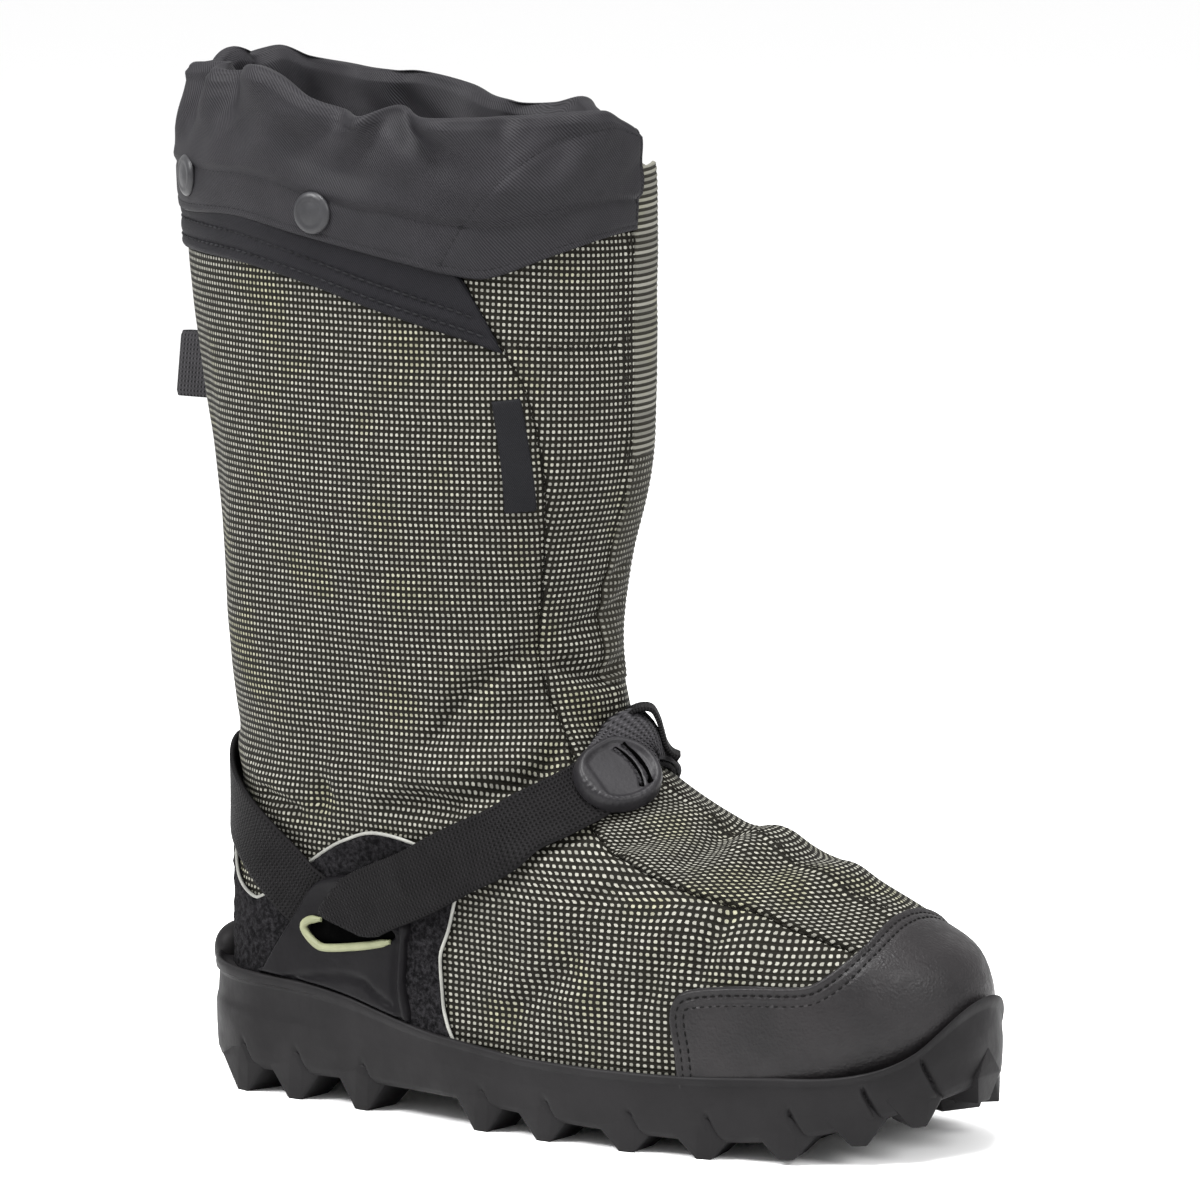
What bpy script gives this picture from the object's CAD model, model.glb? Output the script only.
import math

import bmesh
import bpy
import numpy as np
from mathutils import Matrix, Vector
from mathutils.geometry import delaunay_2d_cdt


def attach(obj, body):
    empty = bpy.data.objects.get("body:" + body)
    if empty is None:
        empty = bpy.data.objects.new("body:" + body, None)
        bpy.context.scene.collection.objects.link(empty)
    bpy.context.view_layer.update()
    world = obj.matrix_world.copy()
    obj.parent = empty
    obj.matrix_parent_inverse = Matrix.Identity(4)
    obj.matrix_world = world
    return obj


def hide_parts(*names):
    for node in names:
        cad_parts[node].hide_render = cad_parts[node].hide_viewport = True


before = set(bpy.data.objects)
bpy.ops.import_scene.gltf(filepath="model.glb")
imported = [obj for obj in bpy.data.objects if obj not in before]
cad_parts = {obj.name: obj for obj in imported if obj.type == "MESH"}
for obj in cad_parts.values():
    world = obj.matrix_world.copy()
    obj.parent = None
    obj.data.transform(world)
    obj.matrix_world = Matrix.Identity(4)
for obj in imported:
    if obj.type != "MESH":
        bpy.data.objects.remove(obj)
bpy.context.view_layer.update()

# All lengths here are in millimetres, in the frame that the boot is drawn in: X forward, Z up from the
# ground. The row frame has its origin elsewhere, and is in metres.
origin_shift = np.array([-140.618, 1.514, 0.0])

# Driving sizes
foot_length = 304.0
ball_width = 110.0
instep_height = 150.0
shaft_rise = 210.0
shaft_depth = 170.0
shaft_width = 120.0
arch_bow = 5.0
toe_swing = 9.0
bed_drop = 11.0
rim_height = 46.0
sole_edge = 3.2
lug_height = 10.0
lug_width = 24.0
lug_tip = 8.0
toe_spring = 18.5
spring_start = 226.0
webbing_width = 25.0
buckle_length = 34.0
buckle_height = 29.0

# Layers from the cloth outward
panel_outer = 1.5
cap_outer = 2.5
stay_inner = 1.8
stay_outer = 4.4
webbing_outer = 3.8

foot_sections = [
    [0.026, 0.15, 0.965, 0.200, 0.12, 0.17, 0.32, 0.37, 0.480, 0.38, 1.00, 1.0],
    [0.016, 0.27, 0.996, 0.320, 0.12, 0.17, 0.32, 0.37, 0.485, 0.39, 1.00, 0.6],
    [0.014, 0.34, 0.984, 0.440, 0.13, 0.18, 0.32, 0.37, 0.475, 0.39, 1.00, 0.1],
    [0.014, 0.41, 0.944, 0.505, 0.13, 0.21, 0.32, 0.37, 0.460, 0.37, 1.00, 0],
    [0.014, 0.47, 0.882, 0.575, 0.14, 0.25, 0.32, 0.37, 0.450, 0.35, 0.95, 0],
    [0.014, 0.53, 0.822, 0.638, 0.15, 0.30, 0.32, 0.38, 0.440, 0.34, 0.90, 0],
    [0.015, 0.60, 0.758, 0.685, 0.17, 0.34, 0.32, 0.38, 0.430, 0.33, 0.80, 0],
    [0.016, 0.67, 0.690, 0.712, 0.20, 0.36, 0.33, 0.39, 0.420, 0.33, 0.70, 0],
    [0.016, 0.75, 0.615, 0.782, 0.24, 0.38, 0.34, 0.40, 0.420, 0.33, 0.50, 0],
    [0.014, 0.84, 0.555, 0.875, 0.30, 0.40, 0.36, 0.41, 0.420, 0.34, 0.30, 0],
    [0.010, 0.95, 0.522, 1.000, 0.36, 0.44, 0.39, 0.43, 0.430, 0.37, 0.10, 0],
]
shaft_sections = [
    [0.010, 0.08, 0.905, 0.12, 0.42, 0.46, 0.41, 0.43, 0.43, 0.41, 0, 0],
    [0.000, 0.24, 0.930, 0.25, 0.46, 0.48, 0.45, 0.46, 0.46, 0.45, 0, 0],
    [-0.030, 0.42, 0.975, 0.40, 0.48, 0.50, 0.47, 0.48, 0.48, 0.47, 0, 0],
    [-0.085, 0.68, 0.985, 0.62, 0.50, 0.50, 0.48, 0.49, 0.49, 0.48, 0, 0],
    [-0.090, 0.88, 0.985, 0.80, 0.50, 0.50, 0.49, 0.50, 0.50, 0.49, 0, 0],
    [-0.085, 1.04, 0.980, 0.92, 0.50, 0.50, 0.49, 0.50, 0.50, 0.49, 0, 0],
]
front_seam = [
    [0.735, 0.935], [0.762, 0.916], [0.805, 0.889], [0.849, 0.868], [0.887, 0.846], [0.921, 0.789],
    [0.938, 0.72], [0.931, 0.642], [0.939, 0.589], [0.909, 0.525], [0.853, 0.459], [0.82, 0.37],
    [0.842, 0.297], [0.891, 0.26], [0.91, 0.227], [0.942, 0.181],
]
toe_cap_edge = [
    [0.74, 0.0], [0.715, 0.05], [0.706, 0.084], [0.712, 0.104], [0.728, 0.1165], [0.76, 0.122], [0.813, 0.124],
    [0.87, 0.122], [0.893, 0.131], [0.923, 0.155], [0.967, 0.198], [1.0, 0.228],
]
heel_panel_edge = [
    [0.0, 0.40], [0.029, 0.385], [0.051, 0.29], [0.086, 0.251], [0.11, 0.256], [0.174, 0.31],
    [0.235, 0.355], [0.316, 0.405], [0.403, 0.434], [0.477, 0.409], [0.49, 0.317], [0.461, 0.265],
    [0.403, 0.179], [0.385, 0.138], [0.38, 0.082], [0.387, 0.054], [0.403, 0.032], [0.414, 0],
]
stay_edge = [
    [0.075, 0.02], [0.122, 0.138], [0.174, 0.234], [0.214, 0.292], [0.256, 0.315], [0.308, 0.312],
    [0.358, 0.225], [0.342, 0.17], [0.331, 0.125], [0.326, 0.09], [0.332, 0.055], [0.35, 0.01],
]
slot_edge = [
    [0.186, 0.19], [0.192, 0.203], [0.209, 0.212], [0.25, 0.222], [0.29, 0.216], [0.322, 0.2],
    [0.329, 0.187], [0.318, 0.177], [0.281, 0.166], [0.2415, 0.157], [0.2, 0.154], [0.189, 0.171],
]
trim_line = [
    [0.213, 0.21], [0.193, 0.207], [0.181, 0.197], [0.179, 0.184], [0.185, 0.167], [0.195, 0.153],
    [0.208, 0.1475], [0.2415, 0.152], [0.281, 0.161], [0.322, 0.174],
]
instep_strap_line = [
    [0.195, 0.165], [0.225, 0.185], [0.304, 0.250], [0.403, 0.305], [0.509, 0.36], [0.674, 0.446],
    [0.845, 0.522], [0.965, 0.56], [1.0, 0.575],
]
label_edge = [[0.824, 0.846], [0.873, 0.848], [0.906, 0.789], [0.853, 0.787]]
band_foot = [
    [0, 0.893], [0.276, 0.897], [0.439, 0.893], [0.657, 0.881], [0.783, 0.873], [0.84, 0.868],
]
cuff_hem = [
    [0, 0.92], [0.074, 0.917], [0.281, 0.924], [0.445, 0.921], [0.664, 0.913], [0.756, 0.909],
    [0.827, 0.909], [0.932, 0.926], [1, 0.94],
]
# Turn and height of the cuff's rim above the collar
cuff_rim = [
    [0, 2.5], [0.03, 1.5], [0.07, 4], [0.131, 8.7], [0.155, 8.3], [0.177, 11.3], [0.198, 15.5],
    [0.215, 14.3], [0.238, 7.9], [0.267, 4.9], [0.281, 5.4], [0.297, 10.3], [0.311, 8.3], [0.347, 10.7],
    [0.401, 14.4], [0.452, 17.3], [0.477, 13.5], [0.497, 10], [0.53, 8], [0.58, 5], [0.65, 3],
    [0.69, 4.8], [0.702, 5.2], [0.715, 1.8], [0.743, -0.5], [0.765, -1], [0.782, 1.2], [0.811, 4.2],
    [0.83, 2.7], [0.855, 2.1], [0.894, 4.6], [0.918, 7.5], [0.945, 3.8], [0.964, 5.3], [0.978, 6.6],
    [1, 2.5],
]

rim_rows = [
    [0, 1], [0.18, 0.95], [0.25, 0.89], [0.31, 0.8], [0.37, 0.72], [0.43, 0.68], [0.52, 0.63],
    [0.7, 0.63], [0.82, 0.67], [0.91, 0.71], [0.96, 0.86], [1, 1.24],
]
underside_rows = [
    [0, 0.9], [0.15, 0.9], [0.24, 1], [0.4, 1], [0.5, 0.85], [0.6, 0.68], [0.76, 0.62], [1, 0.75],
]
# Lugs down both sides: along, a share of the sole's length, and how far the facet climbs the side
lug_rows = [
    [0.09, 1.6], [0.17, 1.6], [0.27, 1.5], [0.45, 1.3], [0.54, 1.3], [0.65, 1.3], [0.745, 1.4],
    [0.84, 1.6], [0.915, 1.9], [0.965, 2.2],
]
middle_lug_rows = [
    [0.13, 0.1], [0.22, 0.1], [0.495, 0.13], [0.595, 0.15], [0.7, 0.16], [0.79, 0.14],
]

# Creases of the cloth. Each has its breadth, its height (below zero for a trough) and its course as turns
# round the boot and shares up it
creases = [
    # Crease from the seam at the ankle down and back, and the roll beside it
    [2.7, -3.0, [[0.419, 0.682], [0.384, 0.668], [0.354, 0.649], [0.335, 0.632], [0.314, 0.603], [0.296, 0.584]]],
    [5.5, 1.6, [[0.41, 0.66], [0.384, 0.65], [0.36, 0.632], [0.342, 0.612], [0.325, 0.588]]],
    [6.0, 1.0, [[0.4, 0.693], [0.37, 0.68], [0.34, 0.66], [0.315, 0.63]]],
    # Folds of the front panel at the ankle
    [3.2, -3.2, [[0.427, 0.668], [0.448, 0.657], [0.472, 0.649], [0.494, 0.65], [0.53, 0.656]]],
    [5.5, 1.7, [[0.435, 0.688], [0.46, 0.677], [0.49, 0.672], [0.53, 0.676]]],
    [5.5, 1.4, [[0.435, 0.64], [0.46, 0.632], [0.49, 0.628], [0.53, 0.63]]],
    [3.2, -1.7, [[0.54, 0.712], [0.515, 0.708], [0.49, 0.701], [0.46, 0.692], [0.438, 0.686]]],
    [3.0, -1.3, [[0.53, 0.742], [0.507, 0.737], [0.49, 0.724], [0.475, 0.713]]],
    [3.0, -1.0, [[0.44, 0.615], [0.47, 0.6], [0.5, 0.6]]],
    # Slump of the shaft's cloth over the strap
    [3.8, -4.2, [[0.258, 0.507], [0.289, 0.511], [0.308, 0.512], [0.333, 0.523], [0.357, 0.534], [0.382, 0.552], [0.406, 0.58]]],
    [8.0, 2.7, [[0.29, 0.548], [0.321, 0.546], [0.34, 0.556], [0.357, 0.562], [0.382, 0.582]]],
    [3.6, -3.0, [[0.235, 0.49], [0.253, 0.49], [0.272, 0.485], [0.3, 0.492]]],
    [5.0, 1.4, [[0.23, 0.512], [0.255, 0.522], [0.28, 0.527]]],
    [6.0, 1.2, [[0.2, 0.51], [0.215, 0.53], [0.22, 0.56]]],
    [4.0, -2.2, [[0.18, 0.47], [0.195, 0.5], [0.2, 0.53]]],
    [3.0, -2.5, [[0.127, 0.492], [0.148, 0.479], [0.166, 0.458]]],
    [5.0, 1.2, [[0.12, 0.52], [0.145, 0.505], [0.168, 0.485]]],
    [7.0, -1.0, [[0.03, 0.585], [0.09, 0.575], [0.16, 0.57]]],
    [7.0, 1.2, [[0.02, 0.56], [0.07, 0.548], [0.12, 0.545]]],
    # Folds of the vamp
    [5.5, -3.0, [[0.52, 0.438], [0.49, 0.436], [0.463, 0.428], [0.43, 0.402], [0.408, 0.382], [0.38, 0.355]]],
    [8.5, 3.0, [[0.43, 0.37], [0.46, 0.392], [0.5, 0.4], [0.55, 0.39]]],
    [6.0, -1.9, [[0.41, 0.325], [0.45, 0.338], [0.5, 0.343], [0.56, 0.336]]],
    [7.0, 1.3, [[0.42, 0.285], [0.46, 0.3], [0.5, 0.306], [0.56, 0.3]]],
    [5.0, -1.0, [[0.43, 0.25], [0.47, 0.265], [0.51, 0.268]]],
    [6.0, 1.6, [[0.4, 0.455], [0.44, 0.47], [0.49, 0.475]]],
    [4.0, -1.8, [[0.365, 0.42], [0.385, 0.43], [0.41, 0.445]]],
    # Folds of the side of the foot
    [3.8, -3.0, [[0.33, 0.13], [0.347, 0.188], [0.364, 0.228], [0.385, 0.268]]],
    [6.5, 1.8, [[0.352, 0.145], [0.368, 0.19], [0.388, 0.225]]],
    [7.0, 1.9, [[0.313, 0.16], [0.328, 0.205], [0.348, 0.25], [0.36, 0.28]]],
    [4.5, -2.3, [[0.283, 0.172], [0.27, 0.133], [0.254, 0.1], [0.243, 0.079]]],
    [6.5, 1.5, [[0.299, 0.17], [0.285, 0.12], [0.27, 0.085]]],
    [6.0, 1.1, [[0.262, 0.16], [0.25, 0.125], [0.238, 0.1]]],
    [4.5, -2.2, [[0.303, 0.095], [0.312, 0.131], [0.324, 0.18]]],
    [4.5, -2.1, [[0.305, 0.27], [0.33, 0.305], [0.352, 0.325]]],
    [6.5, 1.3, [[0.29, 0.25], [0.31, 0.285], [0.33, 0.325]]],
    [6.0, 1.1, [[0.26, 0.2], [0.275, 0.24], [0.29, 0.29]]],
    # Folds of the inner side, which the photograph doesn't show
    [4.0, -2.0, [[0.58, 0.68], [0.62, 0.66], [0.66, 0.63], [0.69, 0.59]]],
    [6.0, 1.7, [[0.59, 0.65], [0.63, 0.625], [0.66, 0.59]]],
    [4.5, -2.4, [[0.6, 0.57], [0.64, 0.54], [0.69, 0.52], [0.74, 0.515]]],
    [8.0, 2.2, [[0.62, 0.58], [0.66, 0.555], [0.7, 0.55]]],
    [5.0, -1.6, [[0.8, 0.5], [0.84, 0.485], [0.87, 0.49]]],
    [5.0, -2.0, [[0.67, 0.13], [0.655, 0.19], [0.63, 0.25]]],
    [6.5, 1.6, [[0.69, 0.15], [0.675, 0.21], [0.65, 0.27]]],
    [5.5, -1.5, [[0.72, 0.17], [0.735, 0.12], [0.75, 0.08]]],
    [5.0, -1.8, [[0.62, 0.35], [0.6, 0.39], [0.57, 0.42]]],
    # Long soft waves of the shaft
    [22.0, -1.6, [[0.2, 0.66], [0.2, 0.8]]],
    [20.0, 1.2, [[0.13, 0.62], [0.12, 0.78]]],
    [18.0, -1.0, [[0.32, 0.72], [0.33, 0.84]]],
    [20.0, -1.4, [[0.72, 0.62], [0.7, 0.82]]],
    [18.0, 1.2, [[0.8, 0.6], [0.83, 0.8]]],
    [9.0, -1.2, [[0.09, 0.72], [0.1, 0.86]]],
]

# Folds of the cuff: breadth, height, and course as turns and shares of the way from hem to rim
cuff_folds = [
    [5, -3.4, [[0.302, 1.0], [0.313, 0.86], [0.33, 0.72], [0.35, 0.6]]],
    [5, -2.2, [[0.297, 0.98], [0.285, 0.8], [0.27, 0.62]]],
    [8, 2.4, [[0.284, 1.0], [0.28, 0.88], [0.275, 0.78]]],
    [9, 2.4, [[0.33, 0.98], [0.35, 0.82], [0.375, 0.66]]],
    [5, -1.8, [[0.375, 0.98], [0.37, 0.86], [0.355, 0.76]]],
    [7, -2.0, [[0.262, 0.96], [0.258, 0.82], [0.27, 0.72]]],
    [12, 2.6, [[0.205, 0.95], [0.215, 0.75], [0.22, 0.6]]],
    [7, -2.2, [[0.165, 1.0], [0.175, 0.8], [0.185, 0.62]]],
    [6, -2.4, [[0.128, 1.0], [0.12, 0.8], [0.115, 0.5]]],
    [8, 2.0, [[0.145, 1.0], [0.145, 0.75], [0.15, 0.5]]],
    [7, 2.0, [[0.09, 1.0], [0.09, 0.7], [0.085, 0.4]]],
    [6, -2.0, [[0.055, 1.0], [0.06, 0.7], [0.07, 0.35]]],
    [8, 1.8, [[0.03, 1.0], [0.025, 0.6]]],
    [9, -1.6, [[0.4, 0.95], [0.42, 0.8], [0.45, 0.7]]],
    [8, 1.6, [[0.36, 0.5], [0.4, 0.42], [0.44, 0.35]]],
    [10, -1.6, [[0.24, 0.6], [0.29, 0.45], [0.33, 0.3]]],
    [9, 1.6, [[0.44, 1.0], [0.455, 0.85], [0.47, 0.6]]],
    [6, -2.6, [[0.965, 1.0], [0.96, 0.7], [0.955, 0.4]]],
    [7, 2.2, [[0.94, 1.0], [0.935, 0.7]]],
    [7, -2.4, [[0.9, 1.0], [0.895, 0.7], [0.88, 0.3]]],
    [8, 2.2, [[0.86, 1.0], [0.855, 0.6]]],
    [7, -2.2, [[0.82, 1.0], [0.81, 0.7], [0.8, 0.4]]],
    [9, 2.0, [[0.78, 1.0], [0.77, 0.6]]],
    [7, -2.4, [[0.735, 1.0], [0.73, 0.7], [0.71, 0.4]]],
    [7, 2.4, [[0.7, 1.0], [0.69, 0.7]]],
    [7, -2.0, [[0.655, 1.0], [0.65, 0.7]]],
    [9, 2.0, [[0.6, 1.0], [0.6, 0.7]]],
    [6, -2.0, [[0.565, 1.0], [0.56, 0.8]]],
]


def curve(rows, at):
    """Smooth curve through the second column of a table, against its first."""
    rows = np.asarray(rows, float)
    xs, ys = rows[:, 0], rows[:, 1]
    x = np.clip(at, xs[0], xs[-1])
    last = len(xs) - 1
    i = np.clip(np.searchsorted(xs, x, side="left") - 1, 0, last - 1)
    before, after = np.maximum(i - 1, 0), np.minimum(i + 2, last)
    slope_in = (ys[i + 1] - ys[before]) / (xs[i + 1] - xs[before])
    slope_out = (ys[after] - ys[i]) / (xs[after] - xs[i])
    span = xs[i + 1] - xs[i]
    t = (x - xs[i]) / span
    return ((2 * t**3 - 3 * t**2 + 1) * ys[i] + (t**3 - 2 * t**2 + t) * span * slope_in
            + (3 * t**2 - 2 * t**3) * ys[i + 1] + (t**3 - t**2) * span * slope_out)


def blend(a, b, c, d, t):
    return 0.5 * (2 * b + (c - a) * t + (2 * a - 5 * b + 4 * c - d) * t**2 + (3 * b - a - 3 * c + d) * t**3)


def sized(rows, length, base, height, width):
    out = np.array(rows, float)
    out[:, [0, 2]] *= length
    out[:, [1, 3]] = base + out[:, [1, 3]] * height
    out[:, 6:10] *= width
    return out


sections = np.vstack([
    sized(foot_sections, foot_length, 0, instep_height, ball_width),
    sized(shaft_sections, shaft_depth, instep_height, shaft_rise, shaft_width),
])


def half_width(run, stations, heel_round, toe_round):
    place = np.clip(run, 0, 1) * 3
    i = np.minimum(np.floor(place).astype(int), 2)
    near = [np.take_along_axis(stations, np.clip(i + k, 0, 3)[..., None], -1)[..., 0] for k in (-1, 0, 1, 2)]

    def end_round(gap, reach):
        return np.sqrt(np.maximum(0, 1 - np.clip(1 - gap / reach, 0, 1) ** 2))

    return blend(*near, place - i) * end_round(run, heel_round) * end_round(1 - run, toe_round)


def last_curve(x):
    share = x / foot_length
    return -arch_bow * np.exp(-(((share - 0.42) / 0.2) ** 2)) + toe_swing * np.clip((share - 0.5) / 0.5, 0, 1) ** 2


def bare(turn, up):
    """Point of the boot's bare surface. turn goes once round from the heel over the outer side."""
    turn, up = np.broadcast_arrays(np.asarray(turn, float), np.asarray(up, float))
    place = np.clip(up, 0, 1) * (len(sections) - 1)
    i = np.minimum(np.floor(place).astype(int), len(sections) - 2)
    rows = [sections[np.clip(i + k, 0, len(sections) - 1)] for k in (-1, 0, 1, 2)]
    s = blend(*rows, (place - i)[..., None])
    angle = turn * 2 * np.pi
    run = 0.5 - 0.5 * np.cos(angle)
    x = s[..., 0] + (s[..., 2] - s[..., 0]) * run
    sag = bed_drop * np.exp(-(((x / foot_length - 0.6) / 0.3) ** 2))
    z = s[..., 1] + (s[..., 3] - s[..., 1]) * run - s[..., 11] * sag
    half = half_width(run, s[..., 6:10], s[..., 4], s[..., 5])
    y = s[..., 10] * last_curve(x) - np.sign(np.sin(angle)) * half
    return np.stack([x, y, z], -1)


def unit(v):
    return v / (np.linalg.norm(v, axis=-1, keepdims=True) + 1e-12)


def outward(turn, up):
    step = 0.002
    around = bare(np.asarray(turn) + step, up) - bare(np.asarray(turn) - step, up)
    rise = bare(turn, np.minimum(np.asarray(up) + step, 1)) - bare(turn, np.maximum(np.asarray(up) - step, 0))
    return unit(np.cross(around, rise))


def turn_of(run):
    return np.arccos(1 - 2 * np.clip(np.asarray(run, float), 0, 1)) / (2 * np.pi)


def smooth_line(points, steps=12):
    """A Catmull-Rom line through points, with its corners rounded by the spline."""
    p = np.asarray(points, float)
    q = np.vstack([2 * p[0] - p[1], p, 2 * p[-1] - p[-2]])
    t = np.linspace(0, 1, steps, endpoint=False)[:, None]
    rows = [blend(q[i], q[i + 1], q[i + 2], q[i + 3], t) for i in range(len(p) - 1)]
    return np.vstack([*rows, p[-1:]])


def smooth_loop(points, steps=12):
    p = np.asarray(points, float)
    n = len(p)
    t = np.linspace(0, 1, steps, endpoint=False)[:, None]
    return np.vstack([blend(p[i - 1], p[i], p[(i + 1) % n], p[(i + 2) % n], t) for i in range(n)])


def evened(points, step, closed=False):
    """The same line with its points a step apart, in space where it has three columns."""
    p = np.vstack([points, points[:1]]) if closed else np.asarray(points)
    length = np.concatenate([[0], np.cumsum(np.linalg.norm(np.diff(p, axis=0), axis=1))])
    count = max(int(round(length[-1] / step)), 2)
    at = np.linspace(0, length[-1], count + 1)
    out = np.stack([np.interp(at, length, p[:, k]) for k in range(p.shape[1])], 1)
    return out[:-1] if closed else out


def line_on(rows, step, smooth=True):
    """Turns and ups along a line on the boot, an even distance apart."""
    tu = smooth_line(rows) if smooth else np.asarray(rows, float)
    place = bare(tu[:, 0], tu[:, 1])
    length = np.concatenate([[0], np.cumsum(np.linalg.norm(np.diff(place, axis=0), axis=1))])
    at = np.linspace(0, length[-1], max(int(round(length[-1] / step)), 2) + 1)
    return np.stack([np.interp(at, length, tu[:, k]) for k in range(2)], 1)


def to_turns(rows, side=1):
    """Rows of run and up as rows of turn and up, on the outer side or, where side is -1, the inner."""
    rows = np.asarray(rows, float)
    turn = turn_of(rows[:, 0])
    return np.stack([turn if side > 0 else 1 - turn, rows[:, 1]], 1)


def distance_to(points, line):
    """Distance of points to a line of straight pieces, and the share along it."""
    a, b = line[:-1], line[1:]
    lengths = np.linalg.norm(b - a, axis=1)
    start = np.concatenate([[0], np.cumsum(lengths)])
    best = np.full(len(points), 1e9)
    share = np.zeros(len(points))
    for i in range(len(a)):
        d = b[i] - a[i]
        t = np.clip(((points - a[i]) @ d) / (d @ d + 1e-12), 0, 1)
        gap = np.linalg.norm(points - a[i] - t[:, None] * d, axis=1)
        nearer = gap < best
        best = np.where(nearer, gap, best)
        share = np.where(nearer, (start[i] + t * lengths[i]) / start[-1], share)
    return best, share


heel_side = np.array([
    [0.15, 0.235], [0.143, 0.268], [0.1295, 0.333], [0.1115, 0.391], [0.086, 0.439], [0.04, 0.49], [0.0, 0.513],
])
heel_course = np.vstack([heel_side, heel_side[-2::-1] * [-1, 1]])
instep_lateral = [
    [0.148, 0.186], [0.174, 0.231], [0.197, 0.270], [0.227, 0.316], [0.271, 0.385], [0.324, 0.457], [0.371, 0.496],
    [0.4325, 0.536], [0.47, 0.561], [0.5, 0.575],
]
instep_course = np.vstack([instep_lateral, to_turns(instep_strap_line[-2::-1], -1)])
crease_lines = []
for breadth, height, course in creases:
    tu = line_on(course, 4)
    crease_lines.append((breadth, height, bare(tu[:, 0], tu[:, 1])))
strap_lines = []
for course in (heel_course, instep_course):
    tu = line_on(course, 6)
    strap_lines.append(bare(tu[:, 0], tu[:, 1]))


def relief(place):
    """Height of the cloth over its plain surface: creases, ripples, and the dent under the webbing."""
    flat = place.reshape(-1, 3)
    out = np.zeros(len(flat))
    for breadth, height, line in crease_lines:
        near = np.abs(flat - line.mean(0)).max(1) < 3 * breadth + np.abs(line - line.mean(0)).max()
        if not near.any():
            continue
        gap, share = distance_to(flat[near], line)
        taper = np.sqrt(np.clip(np.minimum(share, 1 - share) * 6 + 0.12, 0, 1))
        out[near] += height * np.exp(-((gap / breadth) ** 2)) * taper
    x, y, z = flat.T
    out += 0.35 * np.sin(x / 17 + y / 23 + 1.7 * np.sin(z / 31)) * np.sin(z / 19 + x / 41)
    out += 0.16 * np.sin(x / 7.1 + 2.1 * np.sin(z / 13)) * np.sin(z / 8.3 + y / 9)
    keep = np.ones(len(flat))
    for line in strap_lines:
        gap, _ = distance_to(flat, line)
        keep *= 1 - np.exp(-((gap / 15.5) ** 6))
        out -= 1.1 * np.exp(-((gap / 13.5) ** 6))
    out = np.where(out > 0, out * keep, out)
    return out.reshape(place.shape[:-1])


def under_cap(turn, up):
    """How far inside the toe cap's outline a spot lies, from 0 at its edge to 1."""
    run = 0.5 - 0.5 * np.cos(2 * np.pi * np.asarray(turn))
    rows = np.array(toe_cap_edge)[2:]
    depth = np.minimum((np.interp(run, rows[:, 0], rows[:, 1]) - up) * 170, (run - 0.709) * 280)
    return np.clip(depth / 5, 0, 1)


def dressed(turn, up, offset=0.0, follow=1.0):
    """Point of the boot's surface with the cloth's creases, an offset out."""
    place = bare(turn, up)
    covered = under_cap(turn, up)
    height = np.asarray(offset) + follow * relief(place) * (1 - covered)
    return place + outward(turn, up) * height[..., None]


# Meshes
def piece(name, verts, faces, material, replaces=(), slot=None, cloth=None, smooth=True):
    """A new mesh piece in the row frame. cloth is a pair of lengths at each point, for its weave."""
    mesh = bpy.data.meshes.new(name)
    mesh.from_pydata(((np.asarray(verts) + origin_shift) / 1000).tolist(), [], [tuple(f) for f in faces])
    if cloth is not None:
        layer = mesh.attributes.new("cloth", "FLOAT_VECTOR", "POINT")
        flat = np.zeros((len(verts), 3), np.float32)
        flat[:, :2] = cloth
        layer.data.foreach_set("vector", flat.ravel())
    mesh.validate()
    if smooth:
        mesh.shade_smooth()
    obj = bpy.data.objects.new(name, mesh)
    bpy.context.scene.collection.objects.link(obj)
    mesh.materials.append(material)
    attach(obj, "root")
    if replaces:
        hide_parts(*replaces)
    return obj


def grid_faces(rows, columns, wrap=False, flip=False, start=0):
    r = np.arange(rows - 1)[:, None]
    c = np.arange(columns if wrap else columns - 1)[None, :]
    a = r * columns + c
    b = r * columns + (c + 1) % columns
    quads = np.stack([a, b, b + columns, a + columns], -1).reshape(-1, 4)
    return (quads[:, ::-1] if flip else quads) + start


def joined(parts):
    """Several lots of points and faces as one."""
    verts, faces, count = [], [], 0
    for v, f in parts:
        verts.append(v)
        faces.extend([tuple(int(i) + count for i in face) for face in f])
        count += len(v)
    return np.vstack(verts), faces


def tube(line, radius, sides=8, closed=False):
    """A round tube along a line. radius is one number or one for each point."""
    line = np.asarray(line, float)
    n = len(line)
    if closed:
        along = unit(np.roll(line, -1, 0) - np.roll(line, 1, 0))
    else:
        along = unit(np.gradient(line, axis=0))
    across = np.zeros_like(line)
    hint = np.array([0.0, 0.0, 1.0]) if abs(along[0][2]) < 0.9 else np.array([1.0, 0.0, 0.0])
    for i in range(n):
        side = hint - along[i] * (hint @ along[i])
        across[i] = side / np.linalg.norm(side)
        hint = across[i]
    other = np.cross(along, across)
    angle = np.linspace(0, 2 * np.pi, sides, endpoint=False)
    radius = np.broadcast_to(np.asarray(radius, float), (n,))
    ring = across[:, None] * np.cos(angle)[None, :, None] + other[:, None] * np.sin(angle)[None, :, None]
    verts = (line[:, None] + ring * radius[:, None, None]).reshape(-1, 3)
    faces = grid_faces(n, sides, True).tolist()
    if closed:
        last = (n - 1) * sides
        faces += [[last + k, last + (k + 1) % sides, (k + 1) % sides, k] for k in range(sides)]
    else:
        faces += [list(range(sides))[::-1], [(n - 1) * sides + k for k in range(sides)]]
    return verts, faces


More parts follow.
